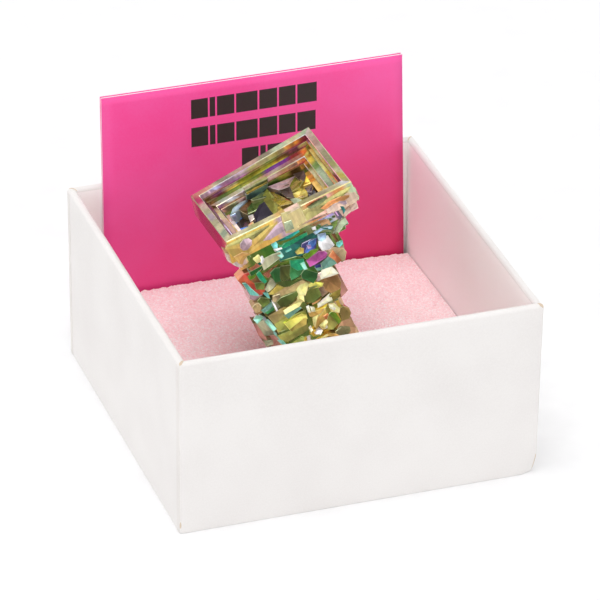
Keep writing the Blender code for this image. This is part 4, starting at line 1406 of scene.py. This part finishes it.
def grow_sides(growth):
    shuffle = random.Random(41)
    for (low, high), tier, words in SIDE_SETS:
        (x0, x1), (y0, y1) = NOTCHED[tier][:2]
        for wall, along, end in WALL_RANGES:
            while along < end:
                width = shuffle.uniform(*WIDTHS)
                height = shuffle.uniform(WIDTHS[0], min(TALLEST, high - low))
                z = shuffle.uniform(low + height / 2, high - height / 2)
                reach = shuffle.uniform(*REACHES) - SET_BACK[wall]
                turn = [shuffle.uniform(-most, most) for most in TURNS]
                tones = {way: LINEAR[shuffle.choice(words.split())] for way in (*WAYS, "under")}
                places = dict(right=(x1 + reach, along), left=(x0 - reach, along), back=(along, y1 + reach))
                x, y = places[wall]
                size = (width, SIDE_DEPTH) if wall == "back" else (SIDE_DEPTH, width)
                limits = [(at - long / 2, at + long / 2) for at, long in zip((x, y, z), (*size, height))]
                growth.block(*limits, tones, SIDE_BEVEL, turn)
                along += width * STRIDE


print(len(SIDE_SETS), "sets of blocks on", len(WALL_RANGES), "walls")

# %% [markdown]
# ## The crystal: oxide finish
# Bismuth with its film is a bright, smooth metal, tinted by the colour stored on each face, which carries
# painted highlights and shade as well. The clear film over it scatters some light by itself, so the finish is
# not wholly metallic. Real film is never even: slow noise shifts the tone, and a Voronoi pattern breaks each
# face into a few flakes of slightly different brightness. Noise drawn out along the crystal's axis paints
# streaks of light and shade along it, painted light like refraction in glass.

# %% Oxide material
FLAKE, DRIFT, STEP_LINE, LIGHT_STREAK = 1.3, 2.2, 0.35, 0.6  # mm
LIGHT_STREAK_STRETCH = (1, 1, 6)
MIDDLE = {"From_Min": 0.3, "From_Max": 0.7}  # noise keeps near its middle, so only this part of it is used
HUE_SHIFT, LIGHT_STREAK_GAIN, FLAKE_LIGHT = (0.485, 0.515), (0.84, 1.16), (0.98, 1.12)
METALLIC, POLISH = 0.62, (0.05, 0.1)  # mostly metal, and smooth to slightly stepped


def make_oxide_material():
    material, tree, shader = new_material("oxide film on bismuth")
    place = add_node(tree, "TexCoord").outputs["Object"]
    film = add_node(tree, "VertexColor", {"layer_name": "oxide"})
    flakes = add_node(tree, "TexVoronoi", Vector=place, Scale=per_mm(FLAKE), Randomness=0.9)
    pick = add_node(tree, "SeparateXYZ", Vector=flakes.outputs["Color"])
    drift = add_node(tree, "TexNoise", Vector=place, Scale=per_mm(DRIFT), Detail=2.0)
    hue = add_node(tree, "MapRange", Value=drift, To_Min=HUE_SHIFT[0], To_Max=HUE_SHIFT[1], **MIDDLE)
    stretch = {"Rotation": LEAN.to_euler(), "Scale": LIGHT_STREAK_STRETCH}
    # Painted light: noise drawn out along the crystal's axis brightens and darkens the colour in streaks.
    along = add_node(tree, "Mapping", {"vector_type": "TEXTURE"}, Vector=place, **stretch)
    light_streaks = add_node(tree, "TexNoise", Vector=along, Scale=per_mm(LIGHT_STREAK), Detail=3.0)
    spread = dict(From_Min=0.35, From_Max=0.65, To_Min=LIGHT_STREAK_GAIN[0], To_Max=LIGHT_STREAK_GAIN[1])
    streak_gain = add_node(tree, "MapRange", Value=light_streaks, **spread)
    flake_light = add_node(tree, "MapRange", Value=pick, To_Min=FLAKE_LIGHT[0], To_Max=FLAKE_LIGHT[1])
    value = add_node(tree, "Math", {"operation": "MULTIPLY"}, in_0=streak_gain, in_1=flake_light)
    toned = add_node(tree, "HueSaturation", Hue=hue, Value=value, Color=film)
    lines = add_node(tree, "TexNoise", Vector=place, Scale=per_mm(STEP_LINE), Detail=2.0)
    gloss = add_node(tree, "MapRange", Value=lines, To_Min=POLISH[0], To_Max=POLISH[1], **MIDDLE)
    set_inputs(tree, shader, Base_Color=toned, Roughness=gloss, Metallic=METALLIC)
    return material


oxide_film = make_oxide_material()
print("oxide film: grooves", LIGHT_STREAK, "mm apart")

# %% [markdown]
# Last the crystal is put together. Points that touch are welded, and the whole mesh is leaned over and set
# into the pad.

# %% Put the crystal together
WELD = 0.0005  # mm


def make_crystal():
    growth = Growth()
    for grow in (grow_head, grow_funnel, grow_floor, grow_tiers, grow_front, grow_sides):
        grow(growth)
    bmesh.ops.remove_doubles(growth.builder, verts=growth.builder.verts, dist=WELD)
    outward(growth.builder)
    for vertex in growth.builder.verts:
        vertex.co = (LEAN @ vertex.co + RIM_CENTRE) * MM
    return new_piece("hopper_crystal", growth.builder, oxide_film)


crystal = make_crystal()
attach(crystal, "root")
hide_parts("bismuth_crystal")
print("crystal:", len(crystal.data.polygons), "faces")
